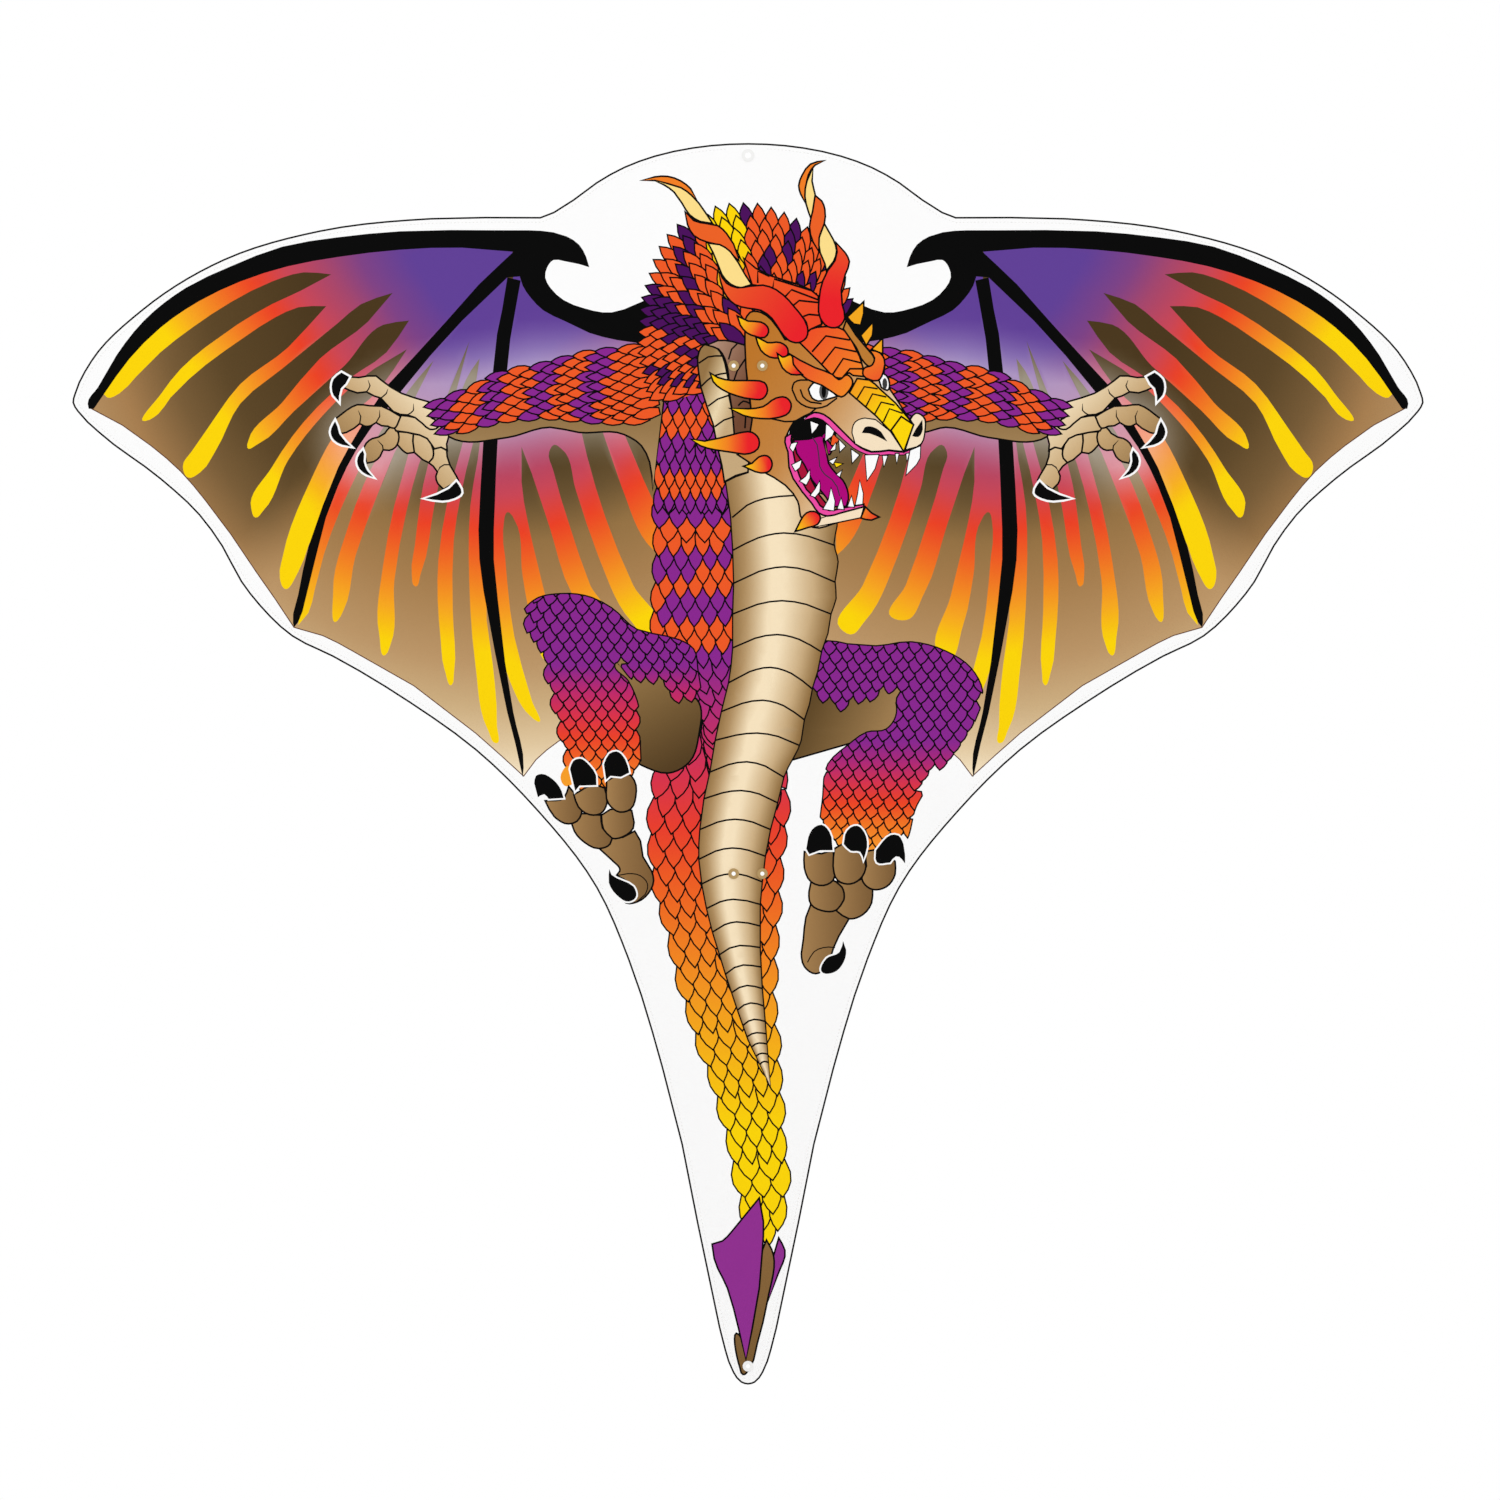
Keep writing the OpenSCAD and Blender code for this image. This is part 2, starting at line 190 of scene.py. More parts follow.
leaf = [(-0.32, 0.0), (-0.5, 0.34), (-0.47, 0.6), (-0.29, 0.81), (0, 1),
        (0.29, 0.81), (0.47, 0.6), (0.5, 0.34), (0.32, 0.0)]


def scale(base, along, width, length, ink, line=1.5, within=(None, None)):
    # one leaf-shaped scale whose tip points along; within holds the limits of its line and of its ink
    along = np.array(along, float) / max(float(np.linalg.norm(along)), 1e-6)
    across = np.array([-along[1], along[0]])
    loop = np.array([base + across * v * width + along * u * length for v, u in leaf])
    lay([inset(loop, -line / 2)], plain(black), within[0])
    lay([inset(loop, line / 2)], ink, within[1])


def scaleStrip(left, right, rows, size, inkOf, grow=2.1, spread=1.12, splay=0.0):
    # rows of scales from the start of the two edges to their end, tips towards the end, splayed at the sides
    a, b = even(left, rows + 2), even(right, rows + 2)
    for row in reversed(range(rows + 1)):
        pitch = np.linalg.norm((a[row + 1] + b[row + 1] - a[row] - b[row]) / 2)
        wide = np.linalg.norm(b[row] - a[row])
        n = max(1, int(round(wide / size)))
        for k in range(n + row % 2):
            s = (k + (0.0 if row % 2 else 0.5)) / n
            base = a[row] + (b[row] - a[row]) * s
            ahead = a[row + 1] + (b[row + 1] - a[row + 1]) * s
            along = (ahead - base) / max(np.linalg.norm(ahead - base), 1e-6)
            along = along + (b[row] - a[row]) / wide * (s - 0.5) * splay
            scale(base, along, wide / n * spread, pitch * grow, inkOf(row, k, base))


# wings, drawn for positive x and laid on both sides

wrist = np.array([232.0, -98.0])
armLine = np.array([(75, -225), (205, -231), (300, -250), (335, -256), (365, -275)], float)

wingColours = {
    "purple": (97, 64, 152), "mauve": (165, 70, 110), "rose": (205, 70, 85), "red": (238, 64, 35),
    "orange": (245, 130, 32), "amber": (250, 170, 30), "yellow": (255, 216, 0),
    "haze": 0.45,  # whiteness of the glow round the arms
}


def polar(p):
    d = np.abs(p[:, 0])[:, None] * [1, 0] + p[:, 1][:, None] * [0, 1] - wrist
    return np.linalg.norm(d, axis=1), np.degrees(np.arctan2(-d[:, 1], d[:, 0]))


def haze(p, colours):
    # pale glow that fades away from the arm
    q = np.stack([np.abs(p[:, 0]), p[:, 1]], 1)
    near = np.full(len(q), 1e9)
    for a, b in zip(armLine[:-1], armLine[1:]):
        t = np.clip((q - a) @ (b - a) / ((b - a) @ (b - a)), 0, 1)
        near = np.minimum(near, np.linalg.norm(q - a - t[:, None] * (b - a), axis=1))
    amount = wingColours["haze"] * np.clip(1 - (near - 28) / 46, 0, 1) ** 1.3
    return colours + (255 - colours) * amount[:, None]


def flameInk(angles, reach):
    # reach is the radius at which the flames turn red, at each of the angles
    def paint(p):
        c = wingColours
        r, angle = polar(p)
        stops = [(0.38, c["purple"]), (0.57, (128, 66, 134)), (0.69, c["mauve"]), (0.87, c["rose"]),
                 (1.0, c["red"]), (1.2, c["orange"]), (1.32, c["amber"]), (1.45, c["yellow"])]
        return haze(p, ramp(r / np.interp(angle, angles, reach), stops))
    return paint


def membraneInk(p):
    r, angle = polar(p)
    outer = [(200, (74, 55, 27)), (300, (92, 70, 38)), (350, (120, 92, 55)), (400, (168, 127, 80)),
             (450, (185, 148, 102))]
    inner = [(200, (80, 62, 32)), (240, (105, 82, 48)), (280, (150, 115, 68)), (330, (168, 128, 80)),
             (400, (190, 152, 106)), (440, (207, 176, 130)), (480, (230, 205, 165)), (510, (252, 236, 205))]
    t = np.clip((angle - 46) / 8, 0, 1)[:, None]
    return haze(p, ramp(r, outer) * (1 - t) + ramp(r, inner) * t)


flame1 = [
    (229, -92, 1), (340, -85), (452, -99), (543, -136), (611, -196), (631, -231, 1), (626, -236),
    (614, -232), (598, -216), (574, -192), (543, -168), (505, -143), (465, -123), (434, -114),
    (407, -116, 1), (437, -132), (465, -145), (499, -165), (530, -187), (554, -208), (573, -232),
    (589, -259), (576, -252), (564, -236), (546, -218), (493, -178), (462, -158), (439, -148),
    (412, -147, 1), (431, -168), (449, -187), (496, -223), (527, -265), (543, -288), (552, -303),
    (547, -314), (535, -309), (520, -288), (496, -242), (455, -208), (400, -163), (378, -145),
    (347, -134, 1), (371, -162), (418, -198), (455, -241), (488, -278), (489, -285), (478, -281),
    (443, -249), (394, -205), (356, -165), (331, -161, 1), (353, -192), (390, -218), (434, -260),
    (465, -304), (485, -344), (481, -353), (473, -346), (449, -297), (412, -250), (365, -208),
    (333, -189, 1), (360, -228), (397, -263), (428, -319), (454, -390), (457, -412), (453, -422),
    (439, -406), (429, -380, 1), (402, -319), (366, -253), (300, -178), (237, -110, 1)]
flame2 = [
    (235, -119, 1), (310, -192), (368, -263), (407, -336), (433, -414), (439, -458, 1), (429, -446),
    (423, -424), (414, -389), (390, -328), (359, -270), (322, -217), (307, -200, 1), (331, -248),
    (366, -302), (390, -361), (405, -425), (401, -454), (395, -444), (383, -390), (362, -332),
    (345, -290), (331, -263), (316, -237, 1), (323, -263), (331, -290), (345, -341), (356, -399),
    (360, -467), (354, -487), (349, -477), (345, -414), (333, -346), (321, -301), (294, -235),
    (272, -181, 1), (287, -238), (312, -301), (325, -380), (328, -409), (325, -420), (319, -407),
    (306, -341), (291, -274), (270, -209), (262, -198, 1), (268, -238), (294, -341), (302, -394),
    (300, -472), (296, -502), (289, -516), (287, -506), (288, -443), (287, -375), (275, -307),
    (267, -275), (260, -243, 1), (261, -275), (271, -342), (272, -414), (266, -497), (254, -560),
    (246, -573), (245, -555), (249, -496), (255, -453, 1), (255, -336), (245, -219), (234, -141, 1)]
flame3 = [
    (228, -106, 1), (240, -219), (253, -355), (246, -443, 1), (233, -511), (212, -547), (205, -552),
    (211, -531), (228, -469), (237, -391), (239, -365), (233, -348), (228, -355), (220, -410),
    (210, -458), (193, -492), (187, -487), (198, -429), (211, -375), (221, -318), (221, -284, 1),
    (211, -310), (194, -361), (172, -427), (154, -453), (140, -450), (154, -419), (174, -361),
    (190, -307), (194, -289), (189, -282), (182, -286), (168, -326), (146, -391), (114, -454),
    (100, -467), (90, -461), (112, -419), (139, -353), (157, -293), (164, -263, 1), (144, -263, 1),
    (124, -321), (93, -384), (86, -390, 1), (86, -351, 1), (102, -316), (123, -266, 1), (105, -238, 1),
    (97, -170, 1), (144, -170), (188, -151), (213, -106, 1)]
membrane = [
    (643, -246, 1), (611, -263), (583, -283), (554, -308), (530, -336), (505, -369), (480, -406),
    (461, -433), (443, -460, 1), (415, -468), (386, -483), (356, -500), (326, -517), (296, -540),
    (266, -563), (241, -585), (219, -605, 1), (207, -589), (185, -571), (105, -531, 1), (60, -505, 1),
    (66, -170, 1), (144, -165), (193, -141), (217, -104, 1), (229, -85, 1), (340, -84), (452, -99),
    (543, -136), (611, -196)]
leadingBone = [
    (644, -247, 1), (645, -242), (635, -226), (617, -195), (590, -161), (549, -129), (505, -108),
    (455, -89), (402, -80), (340, -74), (242, -73), (214, -73), (190, -75), (177, -79), (165, -87),
    (158, -99), (155, -109, 1), (165, -106), (180, -103), (190, -102), (196, -109), (198, -119),
    (193, -129), (180, -141), (160, -149), (133, -153), (121, -150), (100, -141, 1), (86, -161, 1),
    (100, -184, 1), (128, -180), (155, -173), (180, -161), (200, -151), (212, -139), (220, -127),
    (223, -118, 1), (235, -119, 1), (229, -94, 1), (279, -90), (340, -92), (400, -99), (449, -108),
    (496, -123), (536, -142), (574, -168), (604, -198), (630, -234), (639, -247, 1)]
finger1 = [
    (229, -94, 1), (242, -106), (263, -126), (294, -161), (325, -195), (352, -224), (378, -265),
    (400, -304), (415, -341), (429, -381), (439, -428), (444, -456), (443, -460, 1), (439, -455),
    (432, -433), (421, -388), (412, -353), (400, -322), (381, -285), (368, -266), (337, -228),
    (310, -195), (279, -161), (235, -119, 1)]
finger2 = [
    (235, -119, 1), (240, -150), (245, -174), (249, -211), (258, -274), (261, -323), (263, -365),
    (262, -394), (258, -425), (247, -484), (235, -543), (227, -574), (220, -606, 1), (219, -597),
    (229, -543), (237, -494), (244, -434), (248, -394), (248, -365), (246, -311), (244, -273),
    (235, -209), (232, -179), (227, -150), (222, -122, 1)]

for side in (list, mirrored):
    shape(side(membrane), membraneInk, line=1.0, lineInk=plain((98, 58, 40)))
    lay([curve(side(flame1))], flameInk([0, 20, 50], [262, 224, 216]))
    lay([curve(side(flame2))], flameInk([50, 80], [290, 266]))
    lay([curve(side(flame3))], flameInk([80, 120], [277, 252]))
    for bone in (finger1, finger2, leadingBone):
        lay([curve(side(bone))], plain(black))
print("wings drawn:", len(artwork), "shapes")

# body, from the neck to the tail

dragonColours = {
    "scaleOrange": (241, 90, 36), "scalePurple": (138, 38, 145), "scaleDark": (75, 10, 92),
    "horn": (255, 224, 140), "flame": (236, 32, 40), "amber": (245, 130, 32), "sun": (255, 216, 0),
    "tongue": (176, 0, 122), "lip": (240, 77, 165), "gum": (170, 16, 56),
}
dye = dragonColours

armTop = [
    (-91, -182), (-121, -189), (-143, -191), (-180, -199), (-205, -206), (-240, -213), (-259, -223),
    (-286, -234), (-301, -240)]
armBottom = [
    (-86, -258), (-123, -260), (-165, -257), (-198, -254), (-227, -256), (-257, -261), (-275, -267),
    (-291, -269)]
armUnder = [
    (-302, -266, 1), (-292, -274), (-235, -275), (-193, -265), (-165, -270), (-121, -272), (-104, -283),
    (-96, -299), (-93, -326, 1), (-82, -238, 1), (-144, -238, 1), (-242, -243, 1)]
bodyLeft = [
    (-78, -170), (-86, -219), (-89, -268), (-90, -316), (-91, -365), (-92, -414), (-93, -466),
    (-86, -492), (-67, -531), (-82, -570), (-90, -603), (-96, -653), (-95, -672), (-90, -717),
    (-83, -738), (-78, -761), (-69, -799), (-57, -841), (-43, -881), (-29, -923), (-19, -964),
    (-10, -1002), (-5, -1035)]
bodyRight = [
    (-13, -170), (-13, -287), (-10, -433), (-10, -531), (36, -606), (33, -687), (28, -765), (26, -823),
    (30, -873), (32, -903), (34, -942), (37, -978), (37, -1019), (31, -1054)]
bellyLeft = [
    (-29, -288), (-22, -317), (-17, -352), (-15, -384), (-14, -417), (-15, -447), (-15, -480),
    (-19, -514), (-26, -542), (-32, -570), (-37, -600), (-43, -627), (-47, -657), (-48, -686),
    (-45, -711), (-35, -756), (-22, -798), (-10, -834), (0, -862), (22, -908)]
bellyRight = [
    (87, -336), (87, -361), (84, -378), (88, -396), (85, -415), (86, -432), (81, -447), (78, -466),
    (72, -483), (68, -503), (63, -519), (60, -535), (55, -550), (52, -570), (35, -606), (29, -631),
    (22, -657), (17, -683), (14, -708), (12, -730), (12, -756), (12, -774), (14, -812), (17, -846),
    (22, -908)]
legLeft = [
    (-221, -449), (-210, -434), (-182, -427), (-152, -431), (-133, -441), (-108, -462), (-93, -466),
    (-67, -472), (-53, -481), (-49, -500), (-53, -541), (-72, -533), (-95, -517), (-113, -511),
    (-130, -496), (-117, -512), (-105, -546), (-105, -569), (-112, -618), (-174, -616), (-182, -583),
    (-190, -549), (-195, -528), (-205, -491), (-218, -460)]
thighLeft = [
    (-134, -486, 1), (-95, -500), (-72, -520), (-50, -530), (-48, -565), (-57, -591), (-78, -602),
    (-98, -597), (-118, -584), (-124, -540)]
legRight = [
    (77, -473), (97, -476), (125, -478), (159, -474), (193, -483), (218, -500), (229, -522), (221, -553),
    (206, -581), (188, -599), (165, -633), (151, -673), (74, -668), (73, -624), (78, -593), (97, -575),
    (116, -562), (135, -559), (145, -543), (139, -525), (116, -539), (88, -542), (64, -531)]
thighRight = [
    (61, -515, 1), (88, -525), (116, -525), (142, -505), (160, -540), (145, -566), (103, -572, 1),
    (44, -589, 1)]
spadeLeft = [
    (11, -1016, 1), (-16, -1049), (-25, -1058), (-35, -1061, 1), (-33, -1075), (-20, -1104), (-9, -1144),
    (-2, -1174, 1), (4, -1144), (11, -1104), (14, -1067), (15, -1039)]
spadeShaft = [
    (18, -1057, 1), (23, -1066), (19, -1116), (9, -1158), (2, -1181), (-5, -1188), (-8, -1181),
    (-9, -1149), (-2, -1170, 1), (4, -1144), (11, -1104), (14, -1067)]
spadeRight = [
    (30, -1055, 1), (36, -1067), (29, -1091), (18, -1121, 1), (20, -1096), (25, -1072)]

thumb = [
    (-388, -216, 1), (-380, -216.5), (-371, -215), (-363, -215, 1), (-357.5, -219.5), (-348.5, -226),
    (-338, -232), (-326.5, -236), (-309, -241, 1), (-313, -245.5, 1), (-302.5, -251, 1), (-308.5, -256, 1),
    (-298.5, -261.5, 1), (-304.5, -266.5), (-310.5, -267), (-317.5, -261.5), (-325, -255.5),
    (-332.5, -253), (-339.5, -252.5), (-346.5, -249.5), (-353, -242.5), (-358.5, -236.5), (-365, -234.5),
    (-372.5, -230.5, 1), (-381.5, -231.5), (-389, -229), (-395.5, -226, 1)]
fingerTwo = [
    (-403, -257, 1), (-392, -248.5), (-381.5, -243), (-369.5, -244), (-357.5, -244.5), (-350, -248),
    (-339, -254.5, 1), (-342, -262), (-345, -266), (-351.5, -264), (-357.5, -263.5), (-363, -260.5, 1),
    (-368, -263.5), (-374, -264), (-379, -261.5, 1), (-384.5, -266), (-392, -270), (-398.5, -271.5, 1),
    (-400, -263.5)]
palm = [
    (-339, -253.5, 1), (-332.5, -254), (-325, -255.5), (-317.5, -261.5), (-310.5, -267), (-304.5, -266.5),
    (-298, -261.5, 1), (-292, -274, 1), (-294, -281.5), (-293.5, -287.5, 1), (-299.5, -284.5),
    (-306, -286, 1), (-309, -281.5), (-313, -276), (-320.5, -272.5), (-332.5, -270), (-343.5, -268.5, 1),
    (-345, -266), (-342, -262)]
fingerThree = [
    (-375, -285, 1), (-372.5, -280.5), (-366.5, -276), (-360.5, -274.5), (-354.5, -271), (-349.5, -265),
    (-345, -264.5, 1), (-341, -271), (-341, -278.5), (-344, -284.5), (-350, -287.5), (-356, -287, 1),
    (-359, -293.5), (-365, -298.5), (-372, -300, 1), (-374, -292)]
knuckleThree = [
    (-343.5, -269, 1), (-332.5, -270), (-326.5, -271.5, 1), (-327, -278.5), (-325.5, -289.5, 1),
    (-332.5, -290.5), (-338, -286.5), (-342, -282, 1), (-341, -275.5)]
knuckleFour = [
    (-326.5, -271.5, 1), (-320.5, -272.5), (-313, -276), (-309, -281.5), (-307, -287.5), (-307.5, -295),
    (-311.5, -299.5, 1), (-317.5, -296.5), (-325.5, -289.5, 1), (-327, -280)]
fingerFour = [
    (-307, -286.5, 1), (-299.5, -284.5), (-294, -287.5, 1), (-293.5, -293.5), (-290.5, -302.5),
    (-284.5, -312.5), (-282.5, -317, 1), (-290.5, -321.5), (-297, -325.5, 1), (-302.5, -320),
    (-304.5, -312.5), (-303, -308.5, 1), (-307, -303), (-311.5, -299.5, 1), (-307.5, -295)]
knuckleLines = [
    [(-371, -219), (-369, -224.5), (-372.5, -230.5)],
    [(-351.5, -227.5), (-353, -232), (-358, -236.5)],
    [(-326.5, -242), (-326.5, -248.5), (-332.5, -253)],
    [(-380.5, -248.5), (-378, -254.5), (-379, -261.5)],
    [(-359.5, -248), (-359.5, -254.5), (-363, -260.5)],
    [(-361.5, -277.5), (-356.5, -283), (-356, -287)],
    [(-303, -308.5), (-300.5, -304), (-296.5, -301.5), (-291, -301.5)],]
handClaws = [
    [(-397, -210.5, 1), (-388, -215.5, 1), (-392, -223), (-396.5, -227.5), (-398.5, -242, 1),
     (-405.5, -234.5), (-407.5, -226), (-405.5, -217.5)],
    [(-403, -257, 1), (-400, -263.5), (-398, -271), (-392, -278.5), (-385, -285, 1), (-396.5, -283),
     (-404.5, -278.5), (-408.5, -269.5), (-406, -262)],
    [(-375.5, -285.5, 1), (-373.5, -291), (-374, -298), (-370.5, -307), (-363.5, -315, 1), (-372.5, -312),
     (-380, -306), (-382.5, -298), (-380, -290.5)],
    [(-284.5, -316.5, 1), (-279, -325), (-278.5, -329), (-286, -335), (-298, -337.5), (-317.5, -334.5, 1),
     (-304, -330), (-292, -324)],]
footLeft = [
    [(-133, -665.5, 1), (-122, -664.5), (-110.5, -658.5, 1), (-105, -668), (-102.5, -683.5), (-94, -697.5),
     (-92, -706.5), (-97, -719), (-108, -727.5), (-119, -728.5), (-117.5, -708), (-128.5, -702, 1),
     (-125, -697.5), (-133, -686.5), (-144.5, -676, 1)],
    [(-143, -643, 1), (-134.5, -637.5), (-113.5, -638.5, 1), (-112, -655.5), (-122, -664), (-133, -665.5),
     (-140.5, -658.5)],
    [(-172, -651.5, 1), (-162.5, -641.5), (-151.5, -642.5), (-143.5, -643, 1), (-142, -655.5),
     (-132.5, -665.5, 1), (-134.5, -671), (-145.5, -675.5), (-159.5, -669.5), (-169.5, -658.5)],
    [(-198, -629, 1), (-179.5, -626), (-175, -615, 1), (-167, -624.5), (-162.5, -641.5), (-167, -649),
     (-175, -651.5), (-189, -644.5)],
    [(-170, -623, 1), (-148.5, -613.5), (-140, -616.5, 1), (-137.5, -630.5), (-144, -641.5), (-154.5, -642.5),
     (-165.5, -635)],
    [(-138, -609.5, 1), (-117.5, -602), (-111, -609), (-109.5, -624.5), (-114.5, -637), (-125, -640),
     (-136, -632)],]
footRight = [
    [(61.5, -729.5, 1), (72, -736), (86, -735.5, 1), (98.5, -744, 1), (88.5, -761), (83.5, -772),
     (78.5, -786), (66, -797.5), (55, -790.5), (52, -778), (54, -764), (56.5, -742.5)],
    [(61.5, -708, 1), (73.5, -711.5), (83, -706.5, 1), (92.5, -713), (93.5, -725.5), (86, -735.5), (72, -736),
     (61.5, -730), (59.5, -717.5)],
    [(83, -706.5, 1), (100, -710), (111, -705, 1), (121.5, -715, 1), (120.5, -728.5), (112.5, -739.5),
     (98.5, -744), (86, -736, 1), (93.5, -725.5), (91.5, -713)],
    [(114, -678.5, 1), (125, -676.5), (143.5, -688, 1), (143.5, -700.5), (134.5, -713), (119, -714.5),
     (111, -705), (115.5, -692.5)],
    [(55, -678.5, 1), (72, -680.5), (83, -677, 1), (84.5, -692.5), (83, -706.5), (73.5, -711.5), (61.5, -708),
     (55, -694.5)],
    [(84.5, -675.5, 1), (92.5, -671), (113, -683.5, 1), (115, -692.5), (109.5, -705), (100, -710),
     (87.5, -706.5), (83, -692.5)],]
footClaws = [
    [(-209.5, -612, 1), (-207.5, -604), (-201.5, -602), (-190.5, -607), (-181, -619.5), (-179, -627, 1),
     (-195, -628, 1), (-199, -623.5), (-205.5, -627, 1)],
    [(-174.5, -598, 1), (-171, -589.5), (-164.5, -587), (-154, -594), (-147.5, -604), (-147, -614.5, 1),
     (-164, -615, 1), (-169, -621, 1)],
    [(-141.5, -593.5, 1), (-136, -582.5), (-128.5, -580), (-119, -588.5), (-115, -602, 1), (-124, -606.5),
     (-134, -605.5, 1), (-139, -610, 1)],
    [(-135.5, -693.5, 1), (-132.5, -700.5), (-122, -706), (-111, -712), (-109, -724), (-116, -728),
     (-128.5, -721.5), (-136.5, -709)],
    [(56, -676, 1), (58, -664.5), (64.5, -654), (72, -651.5), (80, -658.5), (83.5, -678, 1), (70.5, -678),
     (59.5, -682, 1)],
    [(92.5, -671.5, 1), (94, -661.5), (100, -654), (107, -652.5), (114, -659), (117, -674),
     (112.5, -688.5, 1), (109, -679.5), (100, -678.5)],
    [(124, -677, 1), (131, -668), (139, -661.5), (147, -662), (152.5, -671), (154, -692, 1), (144.5, -684),
     (139, -690, 1), (125, -689.5)],
    [(92.5, -763.5, 1), (96.5, -774), (94, -786.5), (84, -797), (71.5, -796.5), (76, -782), (88.5, -776)],]
heelLines = [
    [(-128.5, -702), (-117.5, -700), (-105, -702), (-98, -710), (-100.5, -720.5), (-108, -727)],
    [(58, -786.5), (64.5, -776), (78.5, -771.5), (85, -772)],]

bodyBands = "PPOOPPPOOPPOOPPOOPPOO"  # from the shoulder down, P purple and O orange
tailFade = [(-1060, (255, 216, 0)), (-950, (255, 216, 0)), (-874, (250, 180, 20)), (-818, (247, 154, 30)),
            (-753, (244, 120, 32)), (-700, (241, 90, 34)), (-655, (236, 62, 44)), (-602, (216, 50, 80)),
            (-540, (180, 44, 120)), (-490, dye["scalePurple"])]


def bodyInk(row, k, base):
    if base[1] > -200:
        return plain(dye["scaleOrange"] if (row + k) % 3 else dye["scaleDark"])
    band = int((-205 - base[1] + 0.14 * (base[0] + 50)) / 12.2)
    if 0 <= band < len(bodyBands):
        return plain(dye["scaleOrange"] if bodyBands[band] == "O" else dye["scalePurple"])
    return byHeight(tailFade)


def bodySides(levels, by):
    # the body's two edges at these heights, each moved in by this much
    return [np.stack([np.interp(-levels, -edge[:, 1], edge[:, 0]) + move, levels], 1)
            for edge, move in ((tailLeft, by), (tailRight, -by))]


tailLeft, tailRight = curve(bodyLeft, closed=False), curve(bodyRight, closed=False)
coreLeft, coreRight = bodySides(np.linspace(-180, -1030, 90), 9)
lay([np.concatenate([coreLeft, coreRight[::-1]])], byHeight(tailFade))
for start, stop, rows, size in ((-548, -1045, 30, 16.0), (-320, -560, 17, 14.5), (-170, -335, 13, 10.2)):
    left, right = bodySides(np.linspace(start, stop, 60), 0.48 * size)
    scaleStrip(left, right, rows, size, bodyInk, grow=2.2, splay=0.2)

# thighs and legs
legFade = {
    "left": [(-608, (246, 130, 34)), (-586, (243, 98, 36)), (-567, (238, 66, 40)), (-548, (222, 50, 72)),
             (-522, (190, 40, 110)), (-498, dye["scalePurple"])],
    "right": [(-672, (250, 150, 40)), (-651, (246, 118, 34)), (-631, (240, 68, 36)), (-611, (216, 50, 80)),
              (-592, (176, 40, 120)), (-572, dye["scalePurple"])],
}
shape(thighLeft, between((-110, -500), (-60, -590), [(0, (150, 118, 72)), (1, (84, 62, 32))]))
shape(thighRight, between((60, -540), (130, -570), [(0, (96, 72, 38)), (1, (160, 126, 80))]))


def scaleField(points, width, pitch, leanAt, inkOf, grow=2.0):
    # staggered rows of scales, lowest row first
    # their tips stay inside the closed shape, and its edge cuts the rest
    loop = curve(points)
    within = ([inset(loop, -0.7)], [inset(loop, 0.7)])
    low, high = loop.min(0), loop.max(0)
    for row, z in enumerate(np.arange(low[1] - pitch, high[1] + pitch * grow, pitch)):
        for x in np.arange(low[0], high[0] + width, width) + row % 2 * width / 2:
            base = np.array([x, z + 1.2 * math.sin(0.21 * x)])
            along = np.array(leanAt(base), float)
            along /= np.linalg.norm(along)
            if inside([loop], np.array([base + along * pitch * grow * 0.96]))[0]:
                scale(base, along, width * 1.12, pitch * grow, inkOf, within=within)


def leanLeft(p):
    return np.interp(p[0], [-225, -180, -120, -60], [-0.55, -0.12, 0.1, 0.22]), -1


def leanRight(p):
    return np.interp(p[0], [80, 130, 190, 225], [-0.1, -0.22, -0.1, 0.2]), -1


legScales = {"width": 12.0, "pitch": 9.5}
scaleField(legLeft, legScales["width"], legScales["pitch"], leanLeft, byHeight(legFade["left"]))
scaleField(legRight, legScales["width"], legScales["pitch"], leanRight, byHeight(legFade["right"]))

# belly plates
bellyA, bellyB = curve(bellyLeft, closed=False), curve(bellyRight, closed=False)
bellyStops = [(0, (150, 116, 70)), (0.12, (178, 144, 98)), (0.36, (250, 230, 194)), (0.5, (250, 230, 194)),
              (0.78, (206, 176, 132)), (1, (142, 108, 62))]
bellyLoop = np.concatenate([bellyA, bellyB[::-1][1:]])
lay([inset(bellyLoop, -0.7)], plain(black))
lay([inset(bellyLoop, 0.7)], bySpan(bellyA, bellyB, bellyStops))
# heights of the plate lines: left end, middle, right end
plates = [
    (-385, -368, -380), (-417, -401, -416), (-447, -434, -447), (-480, -467, -484), (-514, -499, -520),
    (-542, -531, -550), (-570, -563, -575), (-601, -591, -606), (-627, -619, -631), (-657, -647, -657),
    (-686, -675, -683), (-710, -700, -708), (-734, -725, -730), (-757, -747, -751), (-779, -770, -772),
    (-798, -789, -791), (-816, -809, -812), (-833, -826, -829), (-848, -842, -844), (-859, -855, -856),
    (-869, -865, -866), (-878, -875, -876), (-886, -883, -884)]
for low, mid, high in plates:
    xa, xb = np.interp(-low, -bellyA[:, 1], bellyA[:, 0]), np.interp(-high, -bellyB[:, 1], bellyB[:, 0])
    stroke([(xa, low), (xa * 0.75 + xb * 0.25, low * 0.28 + mid * 0.72), ((xa + xb) / 2, mid),
            (xa * 0.25 + xb * 0.75, high * 0.28 + mid * 0.72), (xb, high)], width=1.7)

# tail spade
shape(spadeRight, plain((146, 48, 146)))
shape(spadeShaft, between((0, -1060), (20, -1190), [(0, (140, 104, 60)), (1, (120, 90, 50))]))
shape(spadeLeft, plain((146, 48, 146)))


